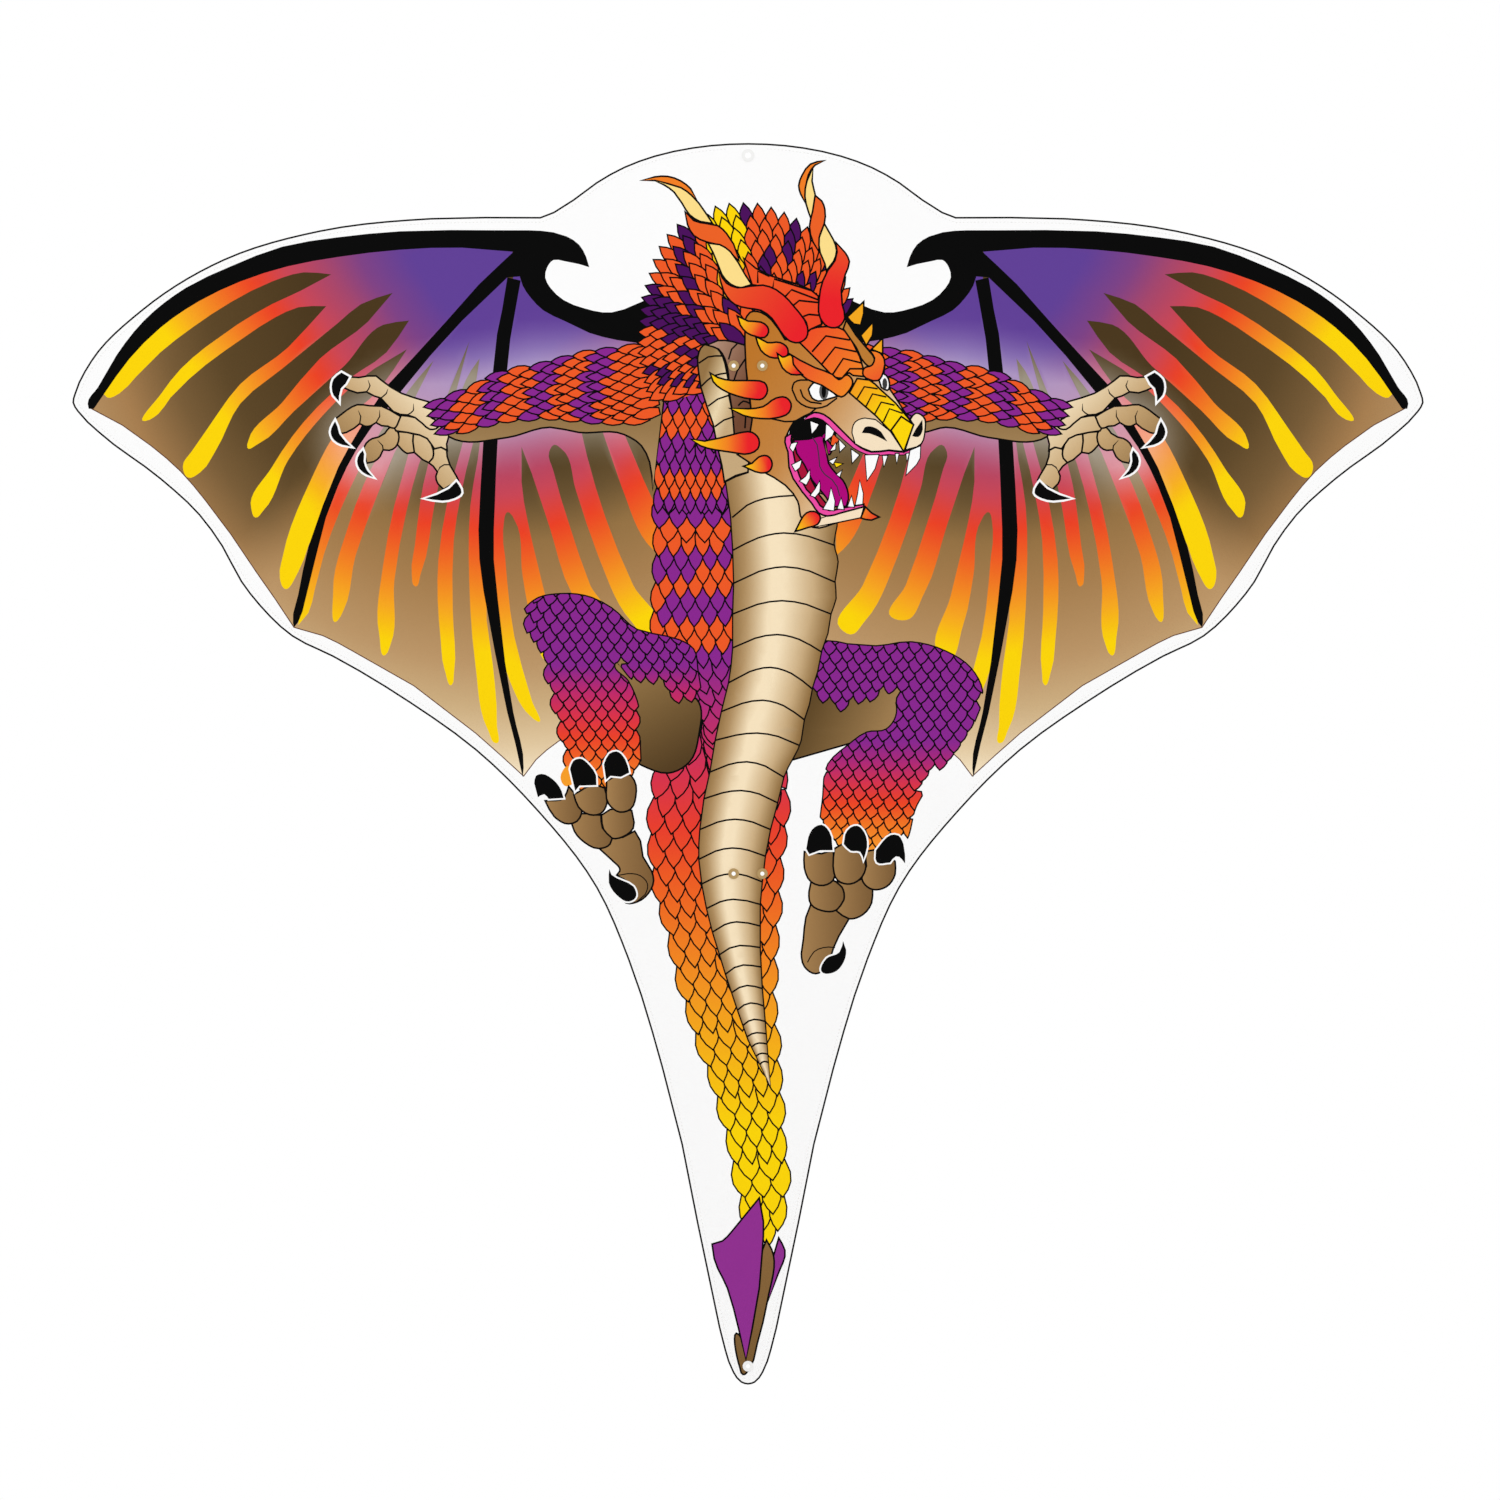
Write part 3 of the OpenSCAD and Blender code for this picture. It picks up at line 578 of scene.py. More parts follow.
def armInk(row, k, base):
    out = abs(base[0]) + 6
    if out < 112:
        return plain(dye["scaleOrange"])
    depth = np.interp(out, [90, 200, 310], [-183, -206, -243]) - base[1]
    return plain(dye["scalePurple"] if (out - 0.32 * depth - 120) % 52 < 24 else dye["scaleOrange"])


# feet
ankle = [(-183, -606), (-181, -600), (-176, -595), (-171, -601), (-171, -612), (-177, -615)]
lay([curve(ankle)], plain((250, 160, 40)))
skinStops = [(0, (168, 130, 82)), (1, (124, 92, 54))]
for foot in (footLeft, footRight):
    for pad in foot:
        xs = [p[0] for p in pad]
        shape(pad, between((min(xs), 0), (max(xs), 0), skinStops))
for one in heelLines:
    stroke(one, 1.1)
for one in footClaws:
    shape(one, plain(black), line=1.6, lineInk=plain(white))

# arms
palmStops = [(0, (246, 226, 190)), (0.45, (198, 164, 116)), (1, (140, 106, 62))]
for side in (list, mirrored):
    under = armUnder if side is list else [*armUnder[:5], (-158, -268, 1), (-158, -238, 1), *armUnder[-2:]]
    shape(side(under), between((0, -262), (0, -330), [(0, (150, 118, 74)), (1, (190, 156, 112))]))
    top, bottom = curve(side(armTop), closed=False) - [0, 4], curve(side(armBottom), closed=False) + [0, 4]
    palmInk = between(*side([(-300, -250), (-380, -330)]), palmStops)
    for part in (fingerFour, knuckleFour, knuckleThree, fingerThree, palm, fingerTwo, thumb):
        shape(side(part), palmInk)
    for one in knuckleLines:
        stroke(side(one), 1.3, ends=(0.3, 1))
    for one in handClaws:
        shape(side(one), plain(black), line=2.0, lineInk=plain(white))
    scaleStrip(top, bottom, 19, 9.4, armInk, grow=2.5, splay=0.35)
print("body drawn:", len(artwork), "shapes")

# head

face = [
    (-3, -160.5, 1), (2, -153), (12.5, -153), (23, -160.5), (36, -179.5, 1), (55, -180.5, 1),
    (93, -160.5, 1), (96, -159.5, 1), (105.5, -175.5), (118.5, -190), (131, -196.5), (133.5, -205),
    (132, -217.5, 1), (138.5, -228), (145.5, -238.5), (157.5, -257.5, 1), (163.5, -251.5), (171, -254.5),
    (172.5, -268), (169, -281), (152, -289, 1), (137.5, -287), (120.5, -288.5), (104.5, -281),
    (95, -271.5), (84.5, -261), (74, -252.5), (65.5, -250.5), (55, -254), (44.5, -260, 1), (37, -274.5),
    (36, -279.5), (39, -288.5), (40, -303.5), (44, -314.5), (53, -328), (62.5, -339), (69, -348.5),
    (77.5, -351), (90.5, -348.5), (113, -342.5, 1), (110, -353, 1), (88.5, -357.5), (63.5, -362.5),
    (53, -355), (48.5, -337), (44, -329.5), (36.5, -321.5), (25.5, -314), (14, -308), (1, -299, 1),
    (-10.5, -291.5, 1), (2, -270.5, 1), (4, -257.5), (2, -238.5), (0, -224), (-2, -207), (-3, -183.5)]
coil = [
    (-40, -185, 1), (-29.5, -180.5), (-15, -181.5), (-3, -185, 1), (-2, -200.5), (-1, -217.5), (2, -241),
    (4, -255.5), (5, -277, 1), (-13, -277, 1), (-15, -251.5), (-18, -232.5), (-19, -213.5), (-22.5, -198.5),
    (-28.5, -189)]
neckCream = [
    (-48.5, -209), (-48, -192), (-43.5, -185), (-35, -185), (-27.5, -191), (-22.5, -202.5),
    (-19.5, -217.5), (-18.5, -234.5), (-14.5, -253.5), (-10, -271, 1), (2, -281, 1), (0, -309, 1),
    (-12, -313), (-23, -318.5, 1), (-25.5, -302), (-30.5, -281), (-34, -262), (-40, -245), (-46, -226)]
jawCream = [
    (113, -342.5, 1), (110, -353, 1), (88.5, -357.5), (63.5, -362.5, 1), (70, -354), (77.5, -351.5),
    (90.5, -348.5)]
mouthDark = [
    (43, -261, 1), (55, -256.5), (65.5, -254), (75, -257), (86.5, -269.5, 1), (83.5, -281), (78, -275),
    (65.5, -277.5), (44.5, -281, 1), (39, -274.5, 1)]
gumPink = [
    (36.5, -274.5, 1), (43, -270.5, 1), (42, -277.5), (44, -288.5), (46.5, -301.5), (50.5, -313),
    (57, -325.5), (66.5, -335), (73, -343), (79.5, -346), (90.5, -344), (113, -340, 1), (113, -342.5, 1),
    (90.5, -348.5), (77.5, -351.5), (69, -348.5), (62.5, -339.5), (53, -328), (44, -315), (40, -304),
    (39, -289), (36, -279.5)]
gumDark = [
    (43, -273.5, 1), (49.5, -287), (57, -305.5), (62.5, -317.5), (70, -331.5), (78.5, -342, 1), (73, -343),
    (66.5, -335), (57, -325.5), (50.5, -313), (46.5, -301.5), (44, -288.5)]
tongue = [
    (44.5, -277.5, 1), (59, -276.5), (74, -274), (79, -279), (83.5, -285, 1), (80, -291.5), (74, -273.5),
    (76.5, -288.5), (78.5, -300), (85, -309), (92.5, -316.5), (97, -326), (98, -335), (96, -342, 1),
    (81, -342.5, 1), (76.5, -333.5), (72, -328), (62.5, -316.5), (55, -301.5), (47.5, -290.5)]
lip = [
    (54, -258, 1), (64.5, -251), (74, -253), (84.5, -261.5), (95, -272), (104.5, -281.5), (120.5, -289.5),
    (137.5, -288), (152, -289.5), (169, -281.5, 1), (168, -284, 1), (152, -292), (137.5, -291.5),
    (120.5, -292.5), (102.5, -285), (92.5, -276.5), (82.5, -267), (73, -258), (64.5, -255.5)]
brow = [
    (40, -193, 1), (50.5, -199.5), (65.5, -207), (82.5, -213.5), (88.5, -218.5), (97, -214), (102, -219.5),
    (98, -230), (91, -235.5), (83.5, -231.5), (72, -224), (58, -218.5), (48.5, -210), (43, -201.5)]
browRight = [
    (118.5, -190, 1), (126.5, -191), (133, -198.5), (132.5, -209), (126.5, -219.5), (118.5, -218.5),
    (112.5, -214.5), (113, -208), (121.5, -204), (123.5, -197.5)]
crest = [
    (50.5, -182.5, 1), (61, -169.5), (74, -167), (93, -170), (104.5, -187), (112, -206), (112.5, -215.5, 1),
    (102.5, -214.5, 1), (99, -212), (93, -217), (83.5, -216, 1), (72, -204), (61, -193)]
crown = [
    (-4.5, -100, 1), (7.5, -110), (21, -117), (38, -122.5), (61, -131), (68.5, -137, 1), (70, -154),
    (72, -164.5, 1), (61, -169.5, 1), (50.5, -182.5, 1), (58, -167), (48.5, -152), (36, -138.5), (21, -129),
    (4, -126, 1)]
templeRight = [
    (93, -169, 1), (96, -160.5, 1), (105.5, -175.5), (118.5, -191), (123.5, -198.5), (119.5, -206),
    (114, -202.5), (105.5, -187)]
nose = [
    (99, -231.5, 1), (106.5, -217.5, 1), (118.5, -219), (129, -228), (143.5, -241), (157.5, -257.5),
    (161.5, -262.5, 1), (152, -288.5, 1), (139.5, -269.5), (124.5, -253.5), (110, -241)]
noseTip = [
    (139.5, -268, 1), (149.5, -254.5, 1), (161.5, -262.5, 1), (152, -289, 1)]
nostrilLeft = [
    (111, -270.5, 1), (114, -265), (121.5, -264.5), (130, -269.5), (136, -279, 1), (126.5, -274),
    (118.5, -271)]
nostrilRight = [
    (160, -273.5, 1), (163.5, -267), (170, -257.5, 1), (170.5, -267), (166, -274.5)]
eyeLeft = [
    (59, -228, 1), (63.5, -222), (72, -221.5), (80, -227), (87, -235, 1), (78, -237.5), (68.5, -239.5),
    (62.5, -236.5)]
eyeRight = [
    (130.5, -211.5, 1), (135, -214.5), (138, -221.5), (136, -229), (130, -226, 1), (128, -219.5)]
muzzle = [
    (104.5, -281, 1), (101.5, -270.5), (104.5, -260), (114, -256), (124.5, -257.5, 1), (139.5, -269.5),
    (152, -288.5, 1), (137.5, -287), (120.5, -288.5)]
nostrilRim = [
    (158.5, -257.5, 1), (163.5, -251.5), (171, -255), (172.5, -268), (169, -281), (153.5, -287, 1),
    (161.5, -262.5, 1)]
spike1 = [
    (-10.5, -156.5, 1), (0, -161.5), (12.5, -162.5), (19, -167), (20, -172.5), (16, -177.5), (7.5, -176.5),
    (-1, -173), (-7.5, -165.5)]
spike2 = [
    (7.5, -176.5, 1), (19, -182.5), (31.5, -182.5), (38.5, -188), (38, -195.5), (30.5, -197.5), (21, -196.5),
    (12.5, -190)]
spike3 = [
    (28.5, -193, 1), (33.5, -196.5), (42, -194.5), (44.5, -204), (53, -213.5, 1), (42, -213.5), (33.5, -207)]
spike4 = [
    (-37, -212, 1), (-29.5, -216.5), (-15, -219.5), (6.5, -219.5), (16, -221.5), (19, -229), (14.5, -237),
    (4, -237.5), (-10.5, -234.5), (-25.5, -228), (-34, -220.5)]
spike5 = [
    (-18, -246.5, 1), (0, -247), (14.5, -245), (27.5, -236.5), (37, -236), (42, -242), (40, -250.5),
    (29.5, -255.5), (12.5, -256.5), (-4.5, -253.5)]
spike6 = [
    (-56, -276.5, 1), (-42.5, -278.5), (-27.5, -275.5), (-8.5, -270.5), (4, -270), (10.5, -276.5),
    (9.5, -286), (2, -290.5), (-15, -289.5), (-32, -287), (-46.5, -283)]
spike7 = [
    (-4.5, -303, 1), (4, -300), (10.5, -294), (19, -293), (23.5, -300), (21, -307.5), (12.5, -309.5),
    (2, -306)]
spike8 = [
    (46, -366.5, 1), (51.5, -355.5), (57, -348.5), (64.5, -347), (70.5, -352), (68, -359.5), (59, -362.5),
    (51.5, -365)]
spike9 = [
    (110, -353.5, 1), (114.5, -342.5, 1), (120.5, -348.5), (128, -352.5, 1), (120.5, -355.5)]
spike10 = [
    (113, -142.5, 1), (113, -154), (110, -165.5, 1), (103.5, -164.5), (97, -157.5, 1)]
spike11 = [
    (122, -162.5, 1), (121.5, -175.5), (115.5, -185.5, 1), (110, -175.5, 1)]
spike12 = [
    (131.5, -178, 1), (131.5, -193.5, 1), (120.5, -189, 1)]
hornLeft1 = [
    (-104.5, -24.5, 1), (-91, -21), (-78.5, -20.5), (-65.5, -25), (-56, -32.5), (-48.5, -46, 1), (-55, -39),
    (-65.5, -31.5), (-78.5, -27.5), (-91, -24.5)]
hornLeft2 = [
    (-93, -24, 1), (-78.5, -27.5), (-65.5, -31.5), (-55, -39), (-48, -46.5), (-40, -58), (-34.5, -66.5, 1),
    (-46.5, -64.5), (-57, -58), (-64.5, -46.5), (-72, -36), (-82.5, -28.5)]
hornLeft3 = [
    (-61.5, -55, 1), (-53, -63.5), (-40, -66.5), (-29.5, -68.5), (-21, -76), (-14, -86.5), (-8.5, -103, 1),
    (-19, -93), (-29.5, -87), (-40, -84.5), (-53, -78), (-59, -67.5)]
hornLeft4 = [
    (-39, -85.5, 1), (-27.5, -87), (-17, -94), (-9.5, -104.5), (-3, -116), (3.5, -126, 1), (-6.5, -129),
    (-17, -125.5), (-25.5, -116), (-30.5, -103.5), (-34, -95)]
hornLeft5 = [
    (-28.5, -113, 1), (-21, -124.5), (-10.5, -129), (2, -127.5), (14.5, -126.5), (27.5, -131),
    (40, -141.5), (50.5, -154), (58, -167), (57, -177.5), (49.5, -182.5), (40, -180.5), (31.5, -171),
    (23, -158.5), (12.5, -151), (0, -149), (-12.5, -145.5), (-23.5, -133)]
hornRight1 = [
    (75, -5, 1), (61, -8.5), (53, -19), (49.5, -29.5), (51.5, -38), (55.5, -45.5, 1), (56.5, -31.5),
    (59, -19), (65.5, -9.5)]
hornRight2 = [
    (63.5, -12.5, 1), (57.5, -25), (55.5, -40), (59, -55), (61.5, -62, 1), (66, -48.5), (65.5, -38),
    (62.5, -25)]
hornRight3 = [
    (65.5, -39, 1), (72, -44.5), (75, -52.5), (74.5, -66.5), (70, -78), (69, -93.5, 1), (63.5, -84.5),
    (60, -69.5), (63, -55)]
hornRight4 = [
    (74.5, -66.5, 1), (69.5, -80), (70.5, -95), (75, -105.5), (76.5, -112.5, 1), (83.5, -103.5), (86.5, -93),
    (83.5, -82.5)]
hornRight5 = [
    (86, -85, 1), (95, -95), (99, -103.5), (95, -116), (91, -131), (92, -145.5), (94.5, -158.5), (88.5, -167),
    (78, -167), (70.5, -158.5), (69.5, -139.5), (73, -122.5), (78, -112), (85, -102.5), (87, -94)]
tooth = [
    [(60.5, -258.5, 1), (69.5, -262, 1), (66.5, -267), (62, -272, 1)],
    [(76, -261.5, 1), (85, -267, 1), (82.5, -273.5), (75, -279, 1)],
    [(88.5, -276.5, 1), (95.5, -283.5, 1), (89.5, -289.5, 1)],
    [(100.5, -286, 1), (109, -292, 1), (101.5, -300.5, 1)],]
toothLong = [
    [(114, -292, 1), (128, -291.5, 1), (124, -305.5), (116, -317.5, 1)],
    [(131, -292.5, 1), (136.5, -292.5, 1), (132.5, -304, 1)],
    [(143.5, -290.5, 1), (147.5, -290.5, 1), (145, -300.5, 1)],
    [(154, -290.5, 1), (157.5, -290, 1), (155, -298.5, 1)],
    [(158, -287.5, 1), (168.5, -283, 1), (168, -295), (154, -312, 1)],]
toothLow = [
    [(40.5, -285, 1), (42, -281), (48.5, -279.5, 1), (44, -289.5, 1)],
    [(42.5, -301.5, 1), (52.5, -296.5, 1), (50.5, -304.5), (46, -308, 1)],
    [(50, -317.5, 1), (56, -313), (60.5, -306, 1), (60.5, -314.5), (57, -321.5, 1)],
    [(60.5, -331.5, 1), (65.5, -325), (70, -317, 1), (70, -328), (65.5, -333.5, 1)],
    [(73, -345, 1), (78.5, -335), (81, -323.5, 1), (85, -337), (84, -346.5, 1)],
    [(87, -344.5, 1), (91, -333.5, 1), (94, -345.5, 1)],
    [(97, -342.5, 1), (101, -331.5, 1), (104, -343, 1)],
    [(104.5, -341, 1), (107, -329.5), (109, -316.5, 1), (112.5, -329.5), (112, -340, 1)],
    [(78.5, -298, 1), (87, -294, 1), (83, -301.5, 1)],
    [(79.5, -288.5, 1), (86, -279.5, 1), (85.5, -287, 1)],
    [(86, -311, 1), (92, -306.5, 1), (89.5, -314, 1)],]

crestLines = [
    [(62.5, -191.5), (76, -176, 1), (99.5, -180)],
    [(72, -203.5), (85, -187, 1), (106.5, -191.5)],
    [(82, -214.5), (93, -198, 1), (111.5, -202.5)],
    [(92, -217), (99.5, -208, 1), (113, -208)],]
crownLines = [
    [(24, -131), (25.5, -120.5, 1), (62.5, -132)],
    [(36, -138), (42.5, -131, 1), (69, -141)],
    [(44.5, -146), (50, -141.5, 1), (69, -143.5)],
    [(54, -157), (59.5, -155, 1), (70, -156)],
    [(9.5, -124.5), (9.5, -113, 1), (21, -118)],]
noseLines = [
    [(106, -238), (113.5, -225.5, 1), (126.5, -227.5)],
    [(115, -245), (121.5, -232.5, 1), (135, -235.5)],
    [(123.5, -252.5), (130, -240.5, 1), (143, -243.5)],
    [(132, -260), (138, -247, 1), (151, -251.5)],]
faceLines = [
    [(43, -228), (45, -221.5), (51.5, -219), (59.5, -219)],
    [(43, -228), (47.5, -238.5), (57, -245), (66.5, -246.5), (77, -244), (87, -236.5)],
    [(51, -228), (53.5, -235), (61, -240.5), (72, -242)],
    [(22, -256.5), (36, -259.5), (51.5, -257.5), (66.5, -246.5)],
    [(103, -273.5), (103.5, -266), (107, -260), (114, -256.5), (124, -257.5)],
    [(55, -254), (65.5, -250.5)],]
neckLines = [
    [(-48, -202.5), (-39, -196.5), (-25, -195.5)],
    [(-45.5, -225), (-34, -215), (-19.5, -212)],
    [(-39, -244.5), (-29.5, -237.5), (-17.5, -233.5)],
    [(-32.5, -264.5), (-23.5, -258), (-13, -254.5)],
    [(-16.5, -227.5), (-10.5, -210), (-2, -197.5)],
    [(-19, -199), (-16, -189), (-9.5, -182.5)],
    [(-9.5, -244), (-4.5, -239.5), (2, -242)],
    [(-3, -266), (0, -249), (3.5, -246)],]
bellyLines = [
    [(-23, -318), (-12, -312), (0.5, -308.5)],
    [(-15.5, -353), (-1, -341), (16, -334.5), (44.5, -331.5)],]
tongueLine = [
    (63, -275), (67.5, -282), (69, -292), (70, -303), (75, -311), (82, -316), (87, -323), (89.5, -332)]

neckCentre = np.array([10.0, -215.0])
mane = {
    "angles": [38, 50, 62, 75, 90, 102, 120, 130, 138, 145, 157, 165, 180, 196],
    # how far the tips stand from neckCentre at those angles
    "reach": [118, 130, 141, 157, 168, 171, 167, 156, 144, 138, 127, 122, 112, 108],
    "rows": 9, "rowGap": 12, "width": 12.6, "length": 32,
}


def maneInk(angle, far):
    # streaks of dark scales and a sunny patch, from the tip's angle in degrees and its distance
    if angle > 141 and far > 60 and (angle - 141) * 1.7 + 0.16 * (130 - far) < 29:
        return plain(dye["scaleDark"])
    if 97 < angle < 112 and far > 95:
        return plain(ramp(np.array([far]), [(100, (248, 165, 30)), (140, dye["sun"])])[0])
    return plain(dye["scaleDark"] if (angle + 0.28 * far) % 23 < 6.4 else dye["scaleOrange"])


fan = [neckCentre + (r - 26) * np.array([math.cos(math.radians(a)), math.sin(math.radians(a))])
       for a, r in zip(mane["angles"], mane["reach"])]
lay([np.array([neckCentre, *fan])], plain(dye["scaleOrange"]))
for row in range(mane["rows"]):
    reach = [r - row * mane["rowGap"] for r in mane["reach"]]
    count = int(round(math.radians(158) * (155 - row * mane["rowGap"]) / mane["width"]))
    for k in range(count):
        degrees = 38 + 158 * (k + 0.25 + 0.5 * (row % 2)) / count
        far = np.interp(degrees, mane["angles"], reach)
        angle = math.radians(degrees)
        lean = math.radians(degrees + np.interp(degrees, [60, 110, 150], [2, 8, 18]))
        along = np.array([math.cos(lean), math.sin(lean)])
        tip = neckCentre + far * np.array([math.cos(angle), math.sin(angle)])
        base = tip - along * mane["length"]
        scale(base, along, mane["width"] * 1.12, mane["length"], maneInk(degrees, far))

neckStops = [(0, (150, 116, 70)), (0.6, (240, 220, 180)), (1, (200, 170, 126))]
shape(neckCream, between((-55, -250), (-20, -262), neckStops))
shape(coil, between((-45, -200), (5, -220), [(0, (186, 150, 128)), (1, (112, 70, 48))]))
faceStops = [(0, (190, 118, 40)), (0.45, (196, 132, 66)), (0.7, (214, 170, 120)), (1, (250, 232, 202))]
shape(face, between((0, -200), (140, -285), faceStops))
shape(jawCream, plain((250, 228, 196)), line=1.0)
for one in [*faceLines, *neckLines, *bellyLines]:
    stroke(one, 1.7)
lay([curve(mouthDark)], plain(black))
shape(gumPink, plain(dye["lip"]))
shape(gumDark, plain(dye["gum"]))
shape(tongue, plain(dye["tongue"]))
stroke(tongueLine, 1.2, ink=plain((70, 40, 70)))
shape([(82.5, -271, 1), (89, -277, 1), (85, -283.5, 1), (80.5, -282, 1)], plain(dye["scaleOrange"]), line=1.0)
shape([(83.5, -299, 1), (93, -300.5, 1), (86, -304.5, 1)], plain(dye["sun"]), line=1.0)
for group in (tooth, toothLow):
    for one in group:
        shape(one, plain(white), line=1.0)
shape(lip, plain(dye["lip"]), line=1.0)
for one in toothLong:
    shape(one, plain(white), line=1.0)
shape(muzzle, plain((248, 228, 196)), line=1.2)
shape(nostrilRim, plain((248, 228, 196)), line=1.2)
for one in (nostrilLeft, nostrilRight):
    lay([curve(one)], plain(black))
shape(crown, between((20, -130), (60, -170), [(0, (241, 86, 36)), (1, (239, 72, 36))]))
shape(crest, between((60, -165), (120, -215), [(0, (240, 76, 36)), (1, (246, 140, 36))]))
shape(templeRight, plain((190, 124, 50)))
for one in [*crownLines, *crestLines]:
    stroke(one, 1.9)
shape(nose, between((106, -215), (160, -270), [(0, (246, 150, 32)), (0.6, dye["sun"]), (1, dye["sun"])]))
for one in noseLines:
    stroke(one, 1.7)
shape(noseTip, plain(dye["sun"]))
for one in (eyeLeft, eyeRight):
    shape(one, plain(white), line=1.8)
# iris and pupils: place, half width, half height, ink
pupils = [
    (74, -230, 4.6, 8.2, (92, 92, 92)), (74, -230, 2.2, 6.4, black), (133.5, -222.5, 2.4, 5.5, (60, 60, 60))]
for x, z, wide, tall, ink in pupils:
    oval = [(x + wide * math.cos(a), z + tall * math.sin(a)) for a in np.linspace(0, 6.0, 14)]
    lay([np.array(oval)], plain(ink))
shape(brow, between((50, -190), (105, -225), [(0, (238, 80, 40)), (1, (246, 140, 36))]))
shape(browRight, between((110, -190), (130, -225), [(0, (246, 140, 36)), (1, (238, 80, 40))]))
spikeStops = [(0, dye["sun"]), (0.2, (250, 190, 20)), (0.55, dye["amber"]), (0.85, dye["flame"])]
for one in (spike1, spike2, spike3, spike4, spike5, spike6, spike7, spike8):
    xy = np.array([p[:2] for p in one], float)
    tip = xy[0]
    end = xy[np.argmax(np.linalg.norm(xy - tip, axis=1))]
    shape(one, between(tip, end, spikeStops))
shape(spike9, between((113, -345), (132, -352), [(0, dye["amber"]), (1, dye["flame"])]))
for one in (spike10, spike11, spike12):
    shape(one, plain((247, 170, 28)))
hornInks = [plain((245, 128, 34)), plain(dye["horn"]), plain((238, 98, 36)), plain(dye["horn"])]
for one, ink in zip((hornLeft1, hornLeft2, hornLeft3, hornLeft4), hornInks):
    shape(one, ink)
hornStops = [(0, (238, 98, 38)), (0.4, (236, 70, 38)), (1, dye["flame"])]
shape(hornLeft5, between((-28, -115), (52, -168), hornStops))
for one, ink in zip((hornRight1, hornRight2, hornRight3, hornRight4), hornInks):
    shape(one, ink)
shape(hornRight5, between((88, -86), (80, -140), [(0, (238, 84, 38)), (1, dye["flame"])]))
print("head drawn:", len(artwork), "shapes")

# sail: the print is cut into triangles along every line of ink

sailShape = {
    "foldX": 22.0, "dihedral": 4.0, "thickness": 0.35,  # mm, degrees, mm
    "billow": 5.0, "ripple": 1.1,  # mm of fullness between the rods
    "edgeLine": 1.7, "gridStep": 9.0,
}
outlineHalf = [
    (0, 12), (54, 8), (91, 0), (121, -11), (148, -26), (171, -43), (190, -55), (203, -60, 1),
    (310, -61), (418, -73), (512, -101), (592, -150), (642, -200), (658, -232), (660, -241), (655, -250),
    (635, -270), (574, -316), (536, -351), (514, -381), (495, -416), (477, -439), (445, -469),
    (405, -489), (330, -534), (266, -580), (205, -640), (148, -714), (117, -784), (84, -890),
    (65, -964), (50, -1040), (33, -1121), (23, -1164), (15, -1186), (7, -1196), (0, -1198)]
outline = curve([*outlineHalf, *mirrored(outlineHalf[1:-1])[::-1]])
artwork[:0] = [([outline], plain(black), None), ([inset(outline, sailShape["edgeLine"])], plain(white), None)]


def ring(x, z, r, count=28):
    turn = np.linspace(0, 2 * math.pi, count, endpoint=False)
    return np.stack([x + r * np.cos(turn), z + r * np.sin(turn)], 1)


cutZ = -560.0  # the panels meet here and on the centre line
points, edges = [], []


def addLoop(loop, closed=True):
    start = len(points)
    points.extend(Vector((float(x), float(z))) for x, z in loop)
    n = len(loop)
    edges.extend((start + k, start + (k + 1) % n) for k in range(n if closed else n - 1))


seen = set()
for loops, ink, within in artwork:
    for loop in [*loops, *(within or [])]:
        if id(loop) not in seen:
            seen.add(id(loop))
            addLoop(loop)
holes = [ring(0, 0, 3.4), ring(0, -1180, 2.4), *(ring(x, z, 2.4) for x in (-14, 14) for z in (-205, -700))]
for hole in holes:
    addLoop(hole)
fold = sailShape["foldX"]
for x in (-fold - 4, -fold + 2, -fold - 1, 0, fold - 2, fold + 1, fold + 4):
    addLoop([(x, 20), (x, -1200)], closed=False)
addLoop([(-400, cutZ), (400, cutZ)], closed=False)
step = sailShape["gridStep"]
gridX, gridZ = np.meshgrid(np.arange(-657, 658, step), np.arange(-1195, 12, step))
grid = np.stack([gridX.ravel() + (gridZ.ravel() / step % 2) * step / 2, gridZ.ravel()], 1)
grid = grid[inside([inset(outline, 2.5)], grid)]
points.extend(Vector(p) for p in grid)
flatVerts, _, flatFaces, _, _, _ = delaunay_2d_cdt(points, edges, [], 0, 0.001, False)
flatVerts = np.array([v[:2] for v in flatVerts])
flatFaces = np.array([f for f in flatFaces if len(f) == 3])
corners = flatVerts[flatFaces]
u, v = corners[:, 1] - corners[:, 0], corners[:, 2] - corners[:, 0]
area2 = u[:, 0] * v[:, 1] - u[:, 1] * v[:, 0]
flatFaces[area2 < 0] = flatFaces[area2 < 0][:, ::-1]
corners = flatVerts[flatFaces]
middle = corners.mean(1)
keep = inside([outline, *holes], middle) & (np.abs(area2) > 1e-5)
flatFaces, corners, middle = flatFaces[keep], corners[keep], middle[keep]
owner = np.full(len(middle), -1)
for n, (loops, ink, within) in enumerate(artwork):
    low = np.min([loop.min(0) for loop in loops], 0)
    high = np.max([loop.max(0) for loop in loops], 0)
    near = np.nonzero(((middle > low) & (middle < high)).all(1))[0]
    near = near[inside(loops, middle[near])]
    if within and len(near):
        near = near[np.any([inside([loop], middle[near]) for loop in within], axis=0)]
    owner[near] = n
colours = np.zeros((len(middle), 3, 3))
order = np.argsort(owner, kind="stable")
starts = np.searchsorted(owner[order], np.arange(len(artwork) + 1))
for n, (loops, ink, within) in enumerate(artwork):
    mine = order[starts[n]:starts[n + 1]]
    if len(mine):
        colours[mine] = ink(corners[mine].reshape(-1, 2)).reshape(-1, 3, 3)
colours = np.clip(colours / 255, 0, 1)
print("sail cut:", len(middle), "triangles")


